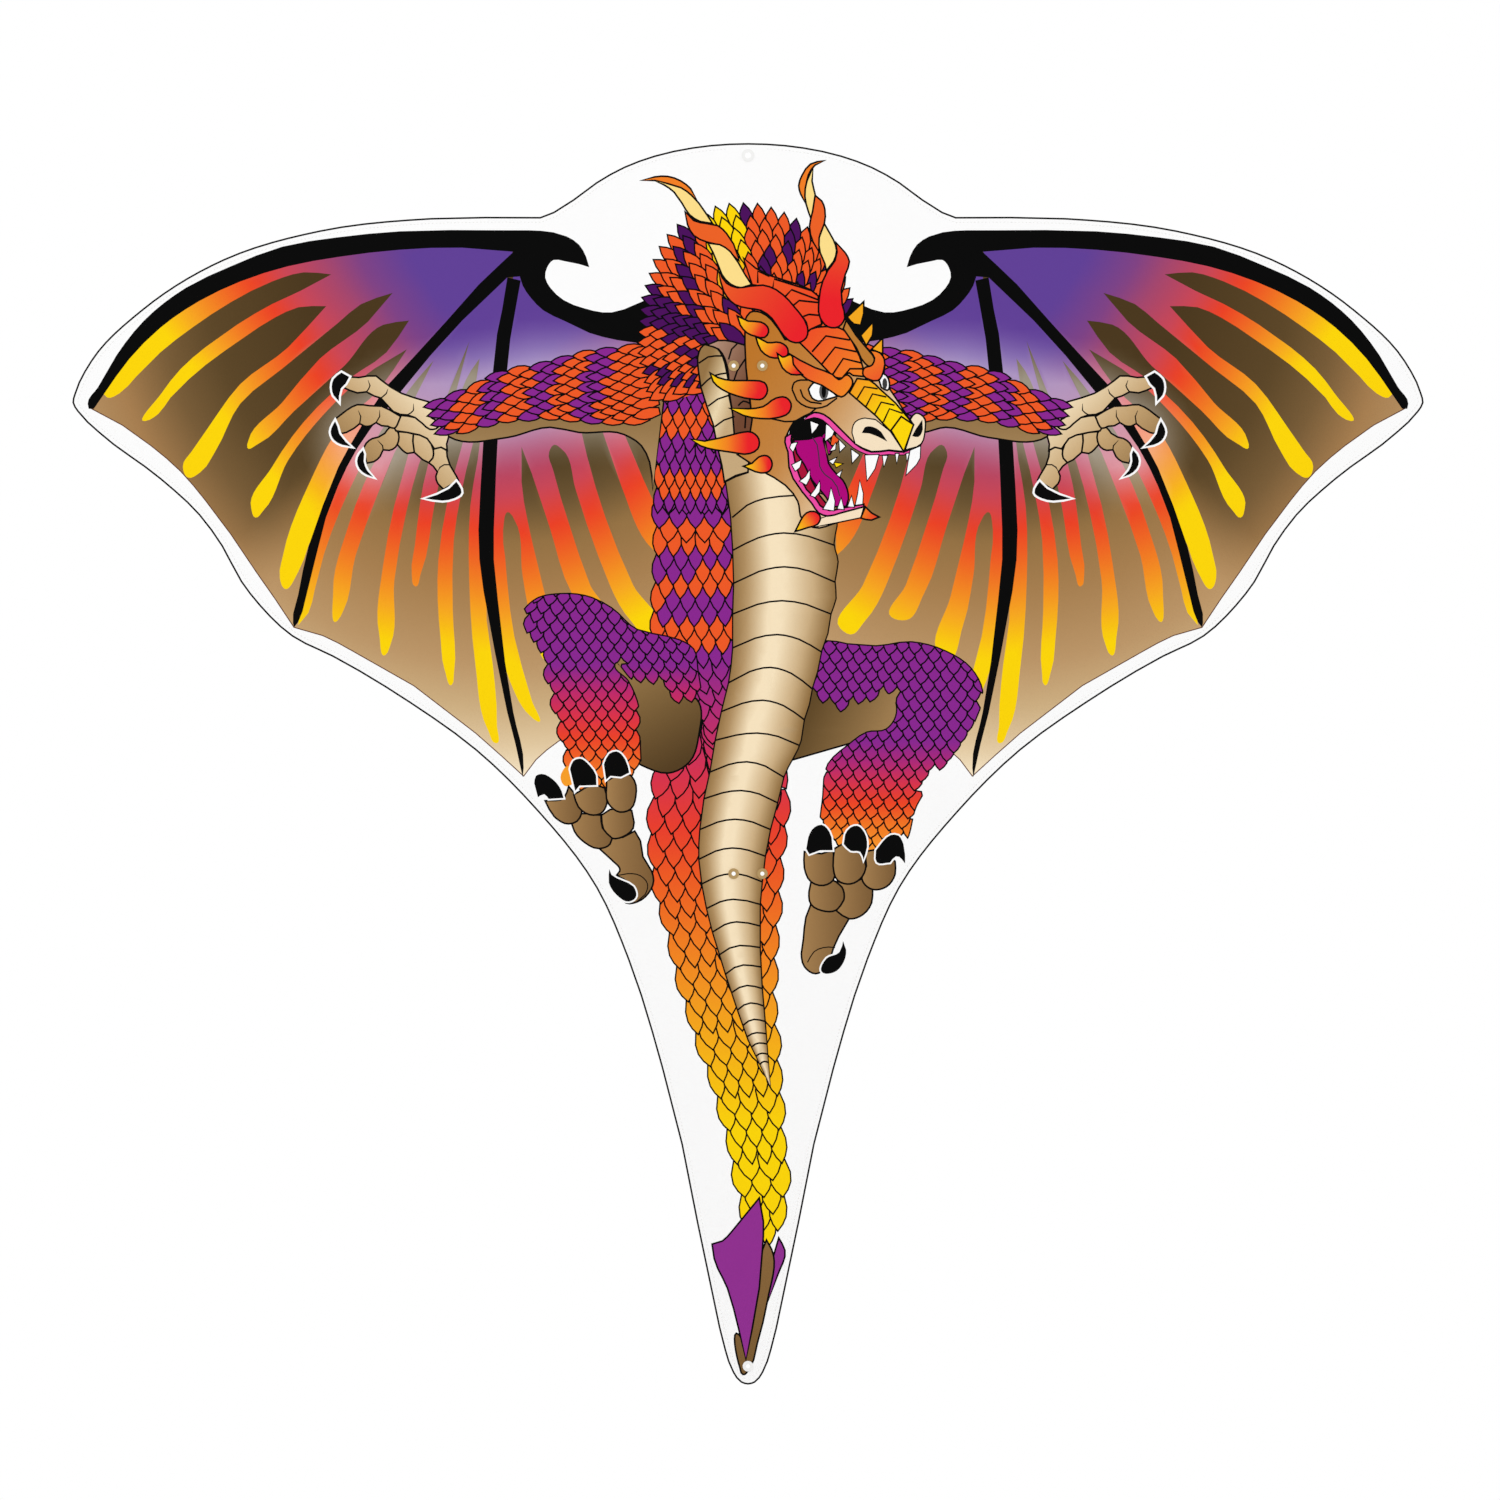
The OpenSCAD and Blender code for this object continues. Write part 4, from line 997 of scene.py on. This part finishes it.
def linear(c):
    return np.where(c <= 0.04045, c / 12.92, ((c + 0.055) / 1.055) ** 2.4)


def step01(t):
    t = np.clip(t, 0, 1)
    return t * t * (3 - 2 * t)


def onSail(p, back=0.0):
    # flat millimetres to metres on the kite; back is the distance behind the print
    x, z = np.abs(p[:, 0]), p[:, 1]
    u = np.maximum(x - fold, 0)
    rod = np.where(x < 340, -83.0, -463 + np.sqrt(np.maximum(380.0**2 - (np.minimum(x, 700) - 340) ** 2, 0)))
    deep = np.maximum(rod - z - 14, 0)
    slack = step01(deep / 230) * step01(u / 170) * step01((720 - x) / 200)
    y = -sailShape["billow"] * slack * (0.55 + 0.45 * np.sin(0.0105 * x + 0.006 * z))
    y += sailShape["ripple"] * slack * np.sin(0.031 * x - 0.017 * z + 1.3)
    y += 0.5 * slack * np.sin(0.05 * z + 0.02 * x)
    y = y + back
    a = math.radians(sailShape["dihedral"])
    outX = np.where(x > fold, fold + u * math.cos(a) - y * math.sin(a), x)
    outY = np.where(x > fold, u * math.sin(a) + y * math.cos(a), y)
    return np.stack([np.sign(p[:, 0]) * outX, outY, z], 1) / 1000


def makeMesh(name, verts, faces, material, colour=None, smooth=True):
    mesh = bpy.data.meshes.new(name)
    mesh.from_pydata([tuple(map(float, v)) for v in verts], [], [tuple(map(int, f)) for f in faces])
    if colour is not None:
        layer = mesh.color_attributes.new("print", "FLOAT_COLOR", "CORNER")
        opaque = np.concatenate([colour, np.ones((len(colour), 1))], 1)
        layer.data.foreach_set("color", opaque.astype(np.float32).ravel())
    mesh.polygons.foreach_set("use_smooth", [smooth] * len(mesh.polygons))
    mesh.materials.append(material)
    mesh.update()
    piece = bpy.data.objects.new(name, mesh)
    bpy.context.scene.collection.objects.link(piece)
    return piece


def newMaterial(name, base=(0.8, 0.8, 0.8), roughness=0.5, metallic=0.0, gloss=0.5):
    material = bpy.data.materials.new(name)
    material.use_nodes = True
    shader = material.node_tree.nodes["Principled BSDF"]
    shader.inputs["Base Color"].default_value = (*base, 1)
    shader.inputs["Roughness"].default_value = roughness
    shader.inputs["Metallic"].default_value = metallic
    shader.inputs["Specular IOR Level"].default_value = gloss
    return material, material.node_tree.nodes, material.node_tree.links, shader


printCloth, nodes, links, shader = newMaterial("printedCloth", roughness=0.62, gloss=0.06)
tint = nodes.new("ShaderNodeVertexColor")
tint.layer_name = "print"
links.new(tint.outputs["Color"], shader.inputs["Base Color"])


def sailPanel(name, side, lower):
    pick = (np.sign(middle[:, 0]) == side) & ((middle[:, 1] < cutZ) == lower)
    faces, shade = flatFaces[pick], linear(colours[pick])
    used, faces = np.unique(faces, return_inverse=True)
    faces = faces.reshape(-1, 3)
    flat = flatVerts[used]
    n = len(flat)
    front, rear = onSail(flat), onSail(flat, sailShape["thickness"])
    sides = np.concatenate([faces[:, [0, 1]], faces[:, [1, 2]], faces[:, [2, 0]]])
    shades = np.concatenate([shade[:, 0], shade[:, 1], shade[:, 2]])
    code = sides[:, 0] * n + sides[:, 1]
    rim = ~np.isin(code, sides[:, 1] * n + sides[:, 0])
    a, b = sides[rim, 0], sides[rim, 1]
    rims = np.stack([b, a, a + n, b + n], 1)
    allFaces = [*faces.tolist(), *(faces[:, ::-1] + n).tolist(), *rims.tolist()]
    through = shade[:, ::-1] * 0.68 + 0.3
    tone = np.concatenate([shade.reshape(-1, 3), through.reshape(-1, 3), np.repeat(shades[rim], 4, axis=0)])
    piece = makeMesh(name, np.concatenate([front, rear]), allFaces, printCloth, tone)
    lean = onSail(flat + [0.5, 0]) - onSail(flat - [0.5, 0])
    rise = onSail(flat + [0, 0.5]) - onSail(flat - [0, 0.5])
    normal = np.cross(lean, rise)
    normal /= np.linalg.norm(normal, axis=1)[:, None]
    count = len(faces) * 3
    loopVerts = np.zeros(len(piece.data.loops), int)
    piece.data.loops.foreach_get("vertex_index", loopVerts)
    custom = np.zeros((len(loopVerts), 3))
    custom[:count] = normal[loopVerts[:count]]
    custom[count:2 * count] = -normal[loopVerts[count:2 * count] - n]
    flatNormal = np.zeros(len(piece.data.polygons) * 3)
    piece.data.polygons.foreach_get("normal", flatNormal)
    custom[2 * count:] = np.repeat(flatNormal.reshape(-1, 3)[2 * len(faces):], 4, axis=0)
    piece.data.normals_split_custom_set(custom.tolist())
    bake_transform(piece)
    return piece


for name, side, lower in (("rightSail", 1, False), ("leftSail", -1, False),
                          ("rightTailPanel", 1, True), ("leftTailPanel", -1, True)):
    sailPanel(name, side, lower)
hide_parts("right_wing_panel", "centre_panel")
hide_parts("left_wing_panel")

# sewn parts on the back

sewing = {
    "hemWidth": 7.0, "hemThickness": 0.4, "stitch": 2.3, "stitchGap": 3.6,  # mm
    "sleeveFlange": 8.0, "cloth": 0.45, "pucker": 0.22,
}


def clothMaterial(name, base, weave=0.25):
    # woven polyester with fine threads and a coarser check every few millimetres
    material, nodes, links, shader = newMaterial(name, base, roughness=0.7, gloss=0.12)
    shader.inputs["Sheen Weight"].default_value = 0.15
    addWeave(nodes, links, shader, weave)
    return material


def addWeave(nodes, links, shader, strength):
    where = nodes.new("ShaderNodeTexCoord")
    height = None
    for axis, size in (("X", 650), ("Z", 650), ("X", 52), ("Z", 52)):
        wave = nodes.new("ShaderNodeTexWave")
        wave.bands_direction = axis
        wave.inputs["Scale"].default_value = size
        wave.inputs["Distortion"].default_value = 0.6
        links.new(where.outputs["Object"], wave.inputs["Vector"])
        if size < 100:
            power = nodes.new("ShaderNodeMath")
            power.operation = "POWER"
            power.inputs[1].default_value = 14
            links.new(wave.outputs["Fac"], power.inputs[0])
            out = power.outputs[0]
        else:
            out = wave.outputs["Fac"]
        if height is None:
            height = out
        else:
            add = nodes.new("ShaderNodeMath")
            links.new(height, add.inputs[0])
            links.new(out, add.inputs[1])
            height = add.outputs[0]
    bump = nodes.new("ShaderNodeBump")
    bump.inputs["Strength"].default_value = strength
    bump.inputs["Distance"].default_value = 0.00012
    links.new(height, bump.inputs["Height"])
    links.new(bump.outputs["Normal"], shader.inputs["Normal"])


tree = printCloth.node_tree
addWeave(tree.nodes, tree.links, tree.nodes["Principled BSDF"], 0.12)
hemCloth = clothMaterial("hemCloth", (0.84, 0.84, 0.83))
sleeveCloth = clothMaterial("sleeveCloth", (0.78, 0.79, 0.8), 0.4)
patchCloth = clothMaterial("patchCloth", (0.7, 0.71, 0.72), 0.5)
thread, nodes, links, shader = newMaterial("thread", (0.88, 0.87, 0.84), roughness=0.5, gloss=0.3)


def settle(piece, hand):
    # puts a spine piece on the root body; any other piece only has its transform baked and stays where onSail
    # laid it, across the fold on to a wing
    if hand == "root":
        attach(piece, "root")
    else:
        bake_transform(piece)
    return piece


def smoothByAngle(piece, degrees=40):
    bpy.ops.object.select_all(action="DESELECT")
    piece.select_set(True)
    bpy.context.view_layer.objects.active = piece
    bpy.ops.object.shade_smooth_by_angle(angle=math.radians(degrees))
    piece.select_set(False)


def normals(line):
    along = np.gradient(line, axis=0)
    along /= np.linalg.norm(along, axis=1)[:, None]
    return along, np.stack([-along[:, 1], along[:, 0]], 1)


stitches = {"root": [], "right": [], "left": []}


def stitchRow(hand, line, back, outward=1):
    # thread over the cloth and down into it again, at even steps along a line
    length = np.linalg.norm(np.diff(line, axis=0), axis=1).sum()
    line = even(line, int(length / 1.2) + 2)
    along, across = normals(line)
    for k in range(1, len(line) - 2, 3):
        ends = [line[k] - along[k] * sewing["stitch"] / 2, line[k] + along[k] * sewing["stitch"] / 2]
        w = across[k] * 0.32
        over, under = back + 0.3 * outward, back - 0.1 * outward
        waist = [(line[k] + w, back), (line[k], over), (line[k] - w, back), (line[k], under)]
        stitches[hand].append([(ends[0], under), *waist, (ends[1], under)])


def sleeve(name, hand, line, y, radius, flange, node, material, shut=(False, False)):
    # cloth sewn down on both sides of a rod whose axis lies y behind the print
    side = -1 if hand == "left" else 1
    line = np.array(line, float) * [side, 1]
    _, across = normals(line)
    run = np.concatenate([[0], np.cumsum(np.linalg.norm(np.diff(line, axis=0), axis=1))])
    r, t = radius, sewing["cloth"]
    outer = [(-flange, 0.85), (-r - 2.4, 0.95), (-r - 1.2, 0.35 * y), (-r - 0.75, y - 0.1),
             (-0.8 * r - 0.5, y + 0.62 * r + 0.3), (-0.42 * r, y + 0.93 * r + 0.6), (0, y + r + 0.75)]
    outer += [(-v, b) for v, b in outer[-2::-1]]
    shrink = (r + 0.75 - t) / (r + 0.75)
    inner = [(v * (1 if abs(v) > r + 2 else shrink), max(b - t, 0.38)) for v, b in outer[::-1]]
    profile = outer + inner
    flat, back = [], []
    for i, p in enumerate(line):
        room = min(run[i] if shut[0] else 1e3, run[-1] - run[i] if shut[1] else 1e3)
        height = math.sqrt(min(1.0, 0.03 + room / 2))
        ruffle = sewing["pucker"] * math.sin(run[i] * 0.83 + math.sin(run[i] * 0.31) * 2)
        for v, b in profile:
            flat.append(p + across[i] * v * (1 + 0.01 * ruffle))
            back.append(0.5 + (b - 0.5) * height + (ruffle * 0.6 if b > 2 else 0.12 * ruffle))
    n = len(profile)
    faces = [(i * n + k, i * n + (k + 1) % n, (i + 1) * n + (k + 1) % n, (i + 1) * n + k)
             for i in range(len(line) - 1) for k in range(n)]
    half = len(outer)
    for i in (0, len(line) - 1):
        faces += [(i * n + k, i * n + k + 1, i * n + n - 2 - k, i * n + n - 1 - k) for k in range(half - 1)]
    piece = makeMesh(name, onSail(np.array(flat), np.array(back)), faces, material)
    tidyNormals(piece)
    smoothByAngle(piece, 50)
    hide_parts(node)
    for edge in (-flange + 1.6, flange - 1.6):
        stitchRow(hand, line + across * edge, 0.98)
    return settle(piece, hand)


def tidyNormals(piece):
    work = bmesh.new()
    work.from_mesh(piece.data)
    bmesh.ops.recalc_face_normals(work, faces=work.faces)
    work.to_mesh(piece.data)
    work.free()


def flatPatch(name, hand, outer, holes, y0, thick, node, material):
    verts, sides = [], []
    for loop in [outer, *holes]:
        start = len(verts)
        verts += [Vector(map(float, p)) for p in loop]
        sides += [(start + k, start + (k + 1) % len(loop)) for k in range(len(loop))]
    got, _, tris, _, _, _ = delaunay_2d_cdt(verts, sides, [], 0, 0.001, False)
    got, tris = np.array([v[:2] for v in got]), np.array(tris)
    tris = tris[inside([outer, *holes], got[tris].mean(1))]
    n = len(got)
    pairs = np.concatenate([tris[:, [0, 1]], tris[:, [1, 2]], tris[:, [2, 0]]])
    rim = ~np.isin(pairs[:, 0] * n + pairs[:, 1], pairs[:, 1] * n + pairs[:, 0])
    a, b = pairs[rim, 0], pairs[rim, 1]
    faces = [*tris.tolist(), *(tris[:, ::-1] + n).tolist(), *np.stack([b, a, a + n, b + n], 1).tolist()]
    body = np.concatenate([onSail(got, y0), onSail(got, y0 + thick)])
    piece = makeMesh(name, body, faces, material, smooth=False)
    tidyNormals(piece)
    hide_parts(node)
    return settle(piece, hand)


def level(x0, x1):
    return even(np.array([(x0, -83.0), (x1, -83.0)]), int(abs(x1 - x0) / 4) + 2)


def arc(a0, a1):
    angles = np.radians(np.linspace(a0, a1, int(abs(a1 - a0) * 1.7) + 4))
    return np.stack([340 + 380 * np.sin(angles), -463 + 380 * np.cos(angles)], 1)


def spine(z0, z1):
    return even(np.array([(0.0, z0), (0.0, z1)]), int(abs(z1 - z0) / 4) + 2)


# how deep the rods lie behind the sail and how wide their sleeves are, in mm
rods = {"wingDepth": 4.3, "wingRadius": 2.3, "spineDepth": 5.6, "spineRadius": 3.3}
for hand in ("right", "left"):
    for part, line in (("Inner", level(70, 323)), ("Middle", arc(2, 32.8)), ("Outer", arc(39.2, 47.2))):
        node = f"{hand}_{part.lower()}_sleeve"
        sleeve(hand + part + "Sleeve", hand, line, rods["wingDepth"], rods["wingRadius"],
               sewing["sleeveFlange"], node, sleeveCloth)
    sleeve(hand + "RootPocket", hand, level(37.5, 68), rods["wingDepth"], 3.4, 10.5,
           hand + "_root_pocket", patchCloth, (True, False))
    sleeve(hand + "TipPocket", hand, arc(47.4, 51.6), rods["wingDepth"], 3.4, 9.5,
           hand + "_tip_pocket", patchCloth, (False, True))
for part, top, foot in (("nose", -54, -133.6), ("upper", -177.6, -584), ("lower", -656, -1108)):
    sleeve(part + "Sleeve", "root", spine(top, foot), rods["spineDepth"], rods["spineRadius"], 9.0,
           part + "_sleeve", sleeveCloth)
sleeve("nosePocket", "root", spine(-17.5, -46), rods["spineDepth"], 4.4, 11.5,
       "nose_pocket", patchCloth, (True, False))
sleeve("tailPocket", "root", spine(-1140, -1168.5), rods["spineDepth"], 4.4, 11.0,
       "tail_pocket", patchCloth, (False, True))
rounded = curve([(-17, 2), (-14, 5), (0, 5), (14, 5), (17, 2), (17, -43), (14, -46), (-14, -46), (-17, -43)],
                detail=1.5)
tailLoop = curve([(-12, -1127, 1), (12, -1127, 1), (12, -1168), (5, -1187), (-5, -1187), (-12, -1168)],
                 detail=1.5)
flatPatch("nosePatch", "root", rounded, [ring(0, 0, 3.5)], 0.36, 0.45,
          "nose_patch", patchCloth)
flatPatch("tailPatch", "root", tailLoop, [ring(0, -1180, 2.5)], 0.36, 0.45,
          "tail_patch", patchCloth)
for loop in (rounded, tailLoop):
    border = inset(loop, 2.0)
    stitchRow("root", np.concatenate([border, border[:1]]), 0.83)


def hemEdge(loop, mine, nose, tail):
    # from the nose to the tail on the right, and from the tail to the nose on the left
    first, last = (nose, tail) if loop[mine[0], 0] > 0 else (tail, nose)
    return np.concatenate([[[0, first]], loop[mine], [[0, last]]])


# hem, folded to the back all round
hemInner = inset(outline, sewing["hemWidth"])
seamLine = inset(outline, sewing["hemWidth"] - 1.8)
topAt = int(np.argmax(outline[:, 1] - np.abs(outline[:, 0]) * 10))
order = (np.arange(len(outline)) + topAt) % len(outline)
for hand, side in (("right", 1), ("left", -1)):
    mine = [k for k in order if outline[k, 0] * side > 0.2]
    loopA, loopB = hemEdge(outline, mine, 12, -1198), hemEdge(hemInner, mine, 5, -1191)
    loopB[:, 0] = np.where(loopB[:, 0] * side < 0, 0, loopB[:, 0])
    n = len(loopA)
    low, high = sailShape["thickness"] + 0.01, sailShape["thickness"] + sewing["hemThickness"]
    body = np.concatenate([onSail(loopA, low), onSail(loopA, high), onSail(loopB, high), onSail(loopB, low)])
    faces = [(c * n + k, c * n + k + 1, (c + 1) % 4 * n + k + 1, (c + 1) % 4 * n + k)
             for k in range(n - 1) for c in range(4)]
    faces += [(0, n, 2 * n, 3 * n), (n - 1, 2 * n - 1, 3 * n - 1, 4 * n - 1)]
    hem = makeMesh(hand + "Hem", body, faces, hemCloth, smooth=False)
    tidyNormals(hem)
    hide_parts(*([hand + "_binding", "centre_binding"] if side > 0 else [hand + "_binding"]))
    settle(hem, hand)
    seam = seamLine[mine]
    stitchRow(hand, seam, high + 0.02)
    stitchRow(hand, seam, -0.02, outward=-1)
for hand, rows in stitches.items():
    flat = np.array([p for one in rows for p, _ in one])
    back = np.array([b for one in rows for _, b in one])
    faces = []
    for k in range(len(rows)):
        o = 6 * k
        faces += [(o, o + 1 + i, o + 1 + (i + 1) % 4) for i in range(4)]
        faces += [(o + 5, o + 1 + (i + 1) % 4, o + 1 + i) for i in range(4)]
    piece = makeMesh(hand + "Stitching", onSail(flat, back), faces, thread)
    tidyNormals(piece)
    settle(piece, hand)
    print(hand, "stitches:", len(rows))

sewnOn = {
    "rightSail": ["noseSleeve", "upperSleeve", "nosePocket", "nosePatch", "rootStitching"], "leftSail": [],
    "rightTailPanel": ["lowerSleeve", "tailPocket", "tailPatch"], "leftTailPanel": [],
}
wingParts = ("Hem", "InnerSleeve", "MiddleSleeve", "OuterSleeve", "RootPocket", "TipPocket", "Stitching")
for hand in ("right", "left"):
    sewnOn[hand + "Sail"] += [hand + part for part in wingParts]

# frame: the part's own hard solids with their finishes

frameLooks = {
    "glass": (0.018, 0.019, 0.021), "metal": (0.62, 0.63, 0.65), "brass": (0.45, 0.3, 0.13),
    "vinyl": (0.03, 0.03, 0.032), "clip": (0.045, 0.046, 0.05),
}


def hardMaterial(name, base, roughness, metallic=0.0, grain=(400, 400, 400), amount=0.2):
    material, nodes, links, shader = newMaterial(name, base, roughness, metallic)
    where = nodes.new("ShaderNodeTexCoord")
    stretch = nodes.new("ShaderNodeMapping")
    stretch.inputs["Scale"].default_value = grain
    noise = nodes.new("ShaderNodeTexNoise")
    noise.inputs["Scale"].default_value = 1
    noise.inputs["Detail"].default_value = 6
    spread = nodes.new("ShaderNodeMapRange")
    spread.inputs["To Min"].default_value = roughness - amount / 2
    spread.inputs["To Max"].default_value = roughness + amount / 2
    links.new(where.outputs["Object"], stretch.inputs["Vector"])
    links.new(stretch.outputs["Vector"], noise.inputs["Vector"])
    links.new(noise.outputs["Fac"], spread.inputs["Value"])
    links.new(spread.outputs["Result"], shader.inputs["Roughness"])
    bump = nodes.new("ShaderNodeBump")
    bump.inputs["Strength"].default_value = 0.15
    bump.inputs["Distance"].default_value = 0.0001
    links.new(noise.outputs["Fac"], bump.inputs["Height"])
    links.new(bump.outputs["Normal"], shader.inputs["Normal"])
    return material


glassFibre = hardMaterial("glassFibre", frameLooks["glass"], 0.32, grain=(900, 900, 30), amount=0.16)
ferruleMetal = hardMaterial("ferruleMetal", frameLooks["metal"], 0.34, 1.0, grain=(2500, 2500, 60))
brass = hardMaterial("brass", frameLooks["brass"], 0.3, 1.0, grain=(700, 700, 700))
whiteLacquer = hardMaterial("whiteLacquer", (0.9, 0.9, 0.89), 0.35, grain=(700, 700, 700))
vinyl = hardMaterial("vinyl", frameLooks["vinyl"], 0.48, grain=(1500, 1500, 1500))
clipPlastic = hardMaterial("clipPlastic", frameLooks["clip"], 0.42, grain=(1200, 1200, 1200))
for name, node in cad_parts.items():
    if "ferrule" in name:
        finish = ferruleMetal
    elif "eyelet" in name:
        finish = brass if name == "bridle_eyelets" else whiteLacquer
    elif name.endswith("_cap"):
        finish = vinyl
    elif name.endswith("_clip") or name == "spine_saddle":
        finish = clipPlastic
    elif name.endswith("_rod") or name.endswith("_spreader") or name in ("spine_upper", "spine_lower"):
        finish = glassFibre
    else:
        continue
    node.data.materials.clear()
    node.data.materials.append(finish)
    smoothByAngle(node, 35)
print("frame finished")

# camera and light

studio = {
    "cameraAt": (0.00195, -4, -0.5795), "cameraWidth": 1.46175,  # m
    "softboxAt": (-0.9, -3.0, 0.9), "softboxAim": (0, 0, -0.6), "softboxSize": 2.2, "softboxPower": 5,
    "floorSize": 8, "floorAt": (0, 0, -1.26),
}
camera = bpy.data.cameras.new("camera")
camera.type = "ORTHO"
camera.ortho_scale = studio["cameraWidth"]
view = bpy.data.objects.new("camera", camera)
bpy.context.scene.collection.objects.link(view)
view.location = studio["cameraAt"]
view.rotation_euler = (math.pi / 2, 0, 0)
camera.clip_end = 20
bpy.context.scene.camera = view
bpy.context.scene.view_settings.view_transform = "Standard"

world = bpy.data.worlds.new("world")
bpy.context.scene.world = world
world.use_nodes = True
world.node_tree.nodes["Background"].inputs["Color"].default_value = (1, 1, 1, 1)
world.node_tree.nodes["Background"].inputs["Strength"].default_value = 1.0

lamp = bpy.data.lights.new("softbox", "AREA")
lamp.size = studio["softboxSize"]
lamp.energy = studio["softboxPower"]
softbox = bpy.data.objects.new("softbox", lamp)
bpy.context.scene.collection.objects.link(softbox)
softbox.location = studio["softboxAt"]
aim = Vector(studio["softboxAim"]) - softbox.location
softbox.rotation_euler = aim.to_track_quat("-Z", "Y").to_euler()

floorMaterial, nodes, links, shader = newMaterial("paleFloor", (0.82, 0.82, 0.82), roughness=0.8, gloss=0.1)
bpy.ops.mesh.primitive_plane_add(size=studio["floorSize"], location=studio["floorAt"])
floor = bpy.context.object
floor.name = "floor"
floor.data.materials.append(floorMaterial)
print("camera, light and floor set")
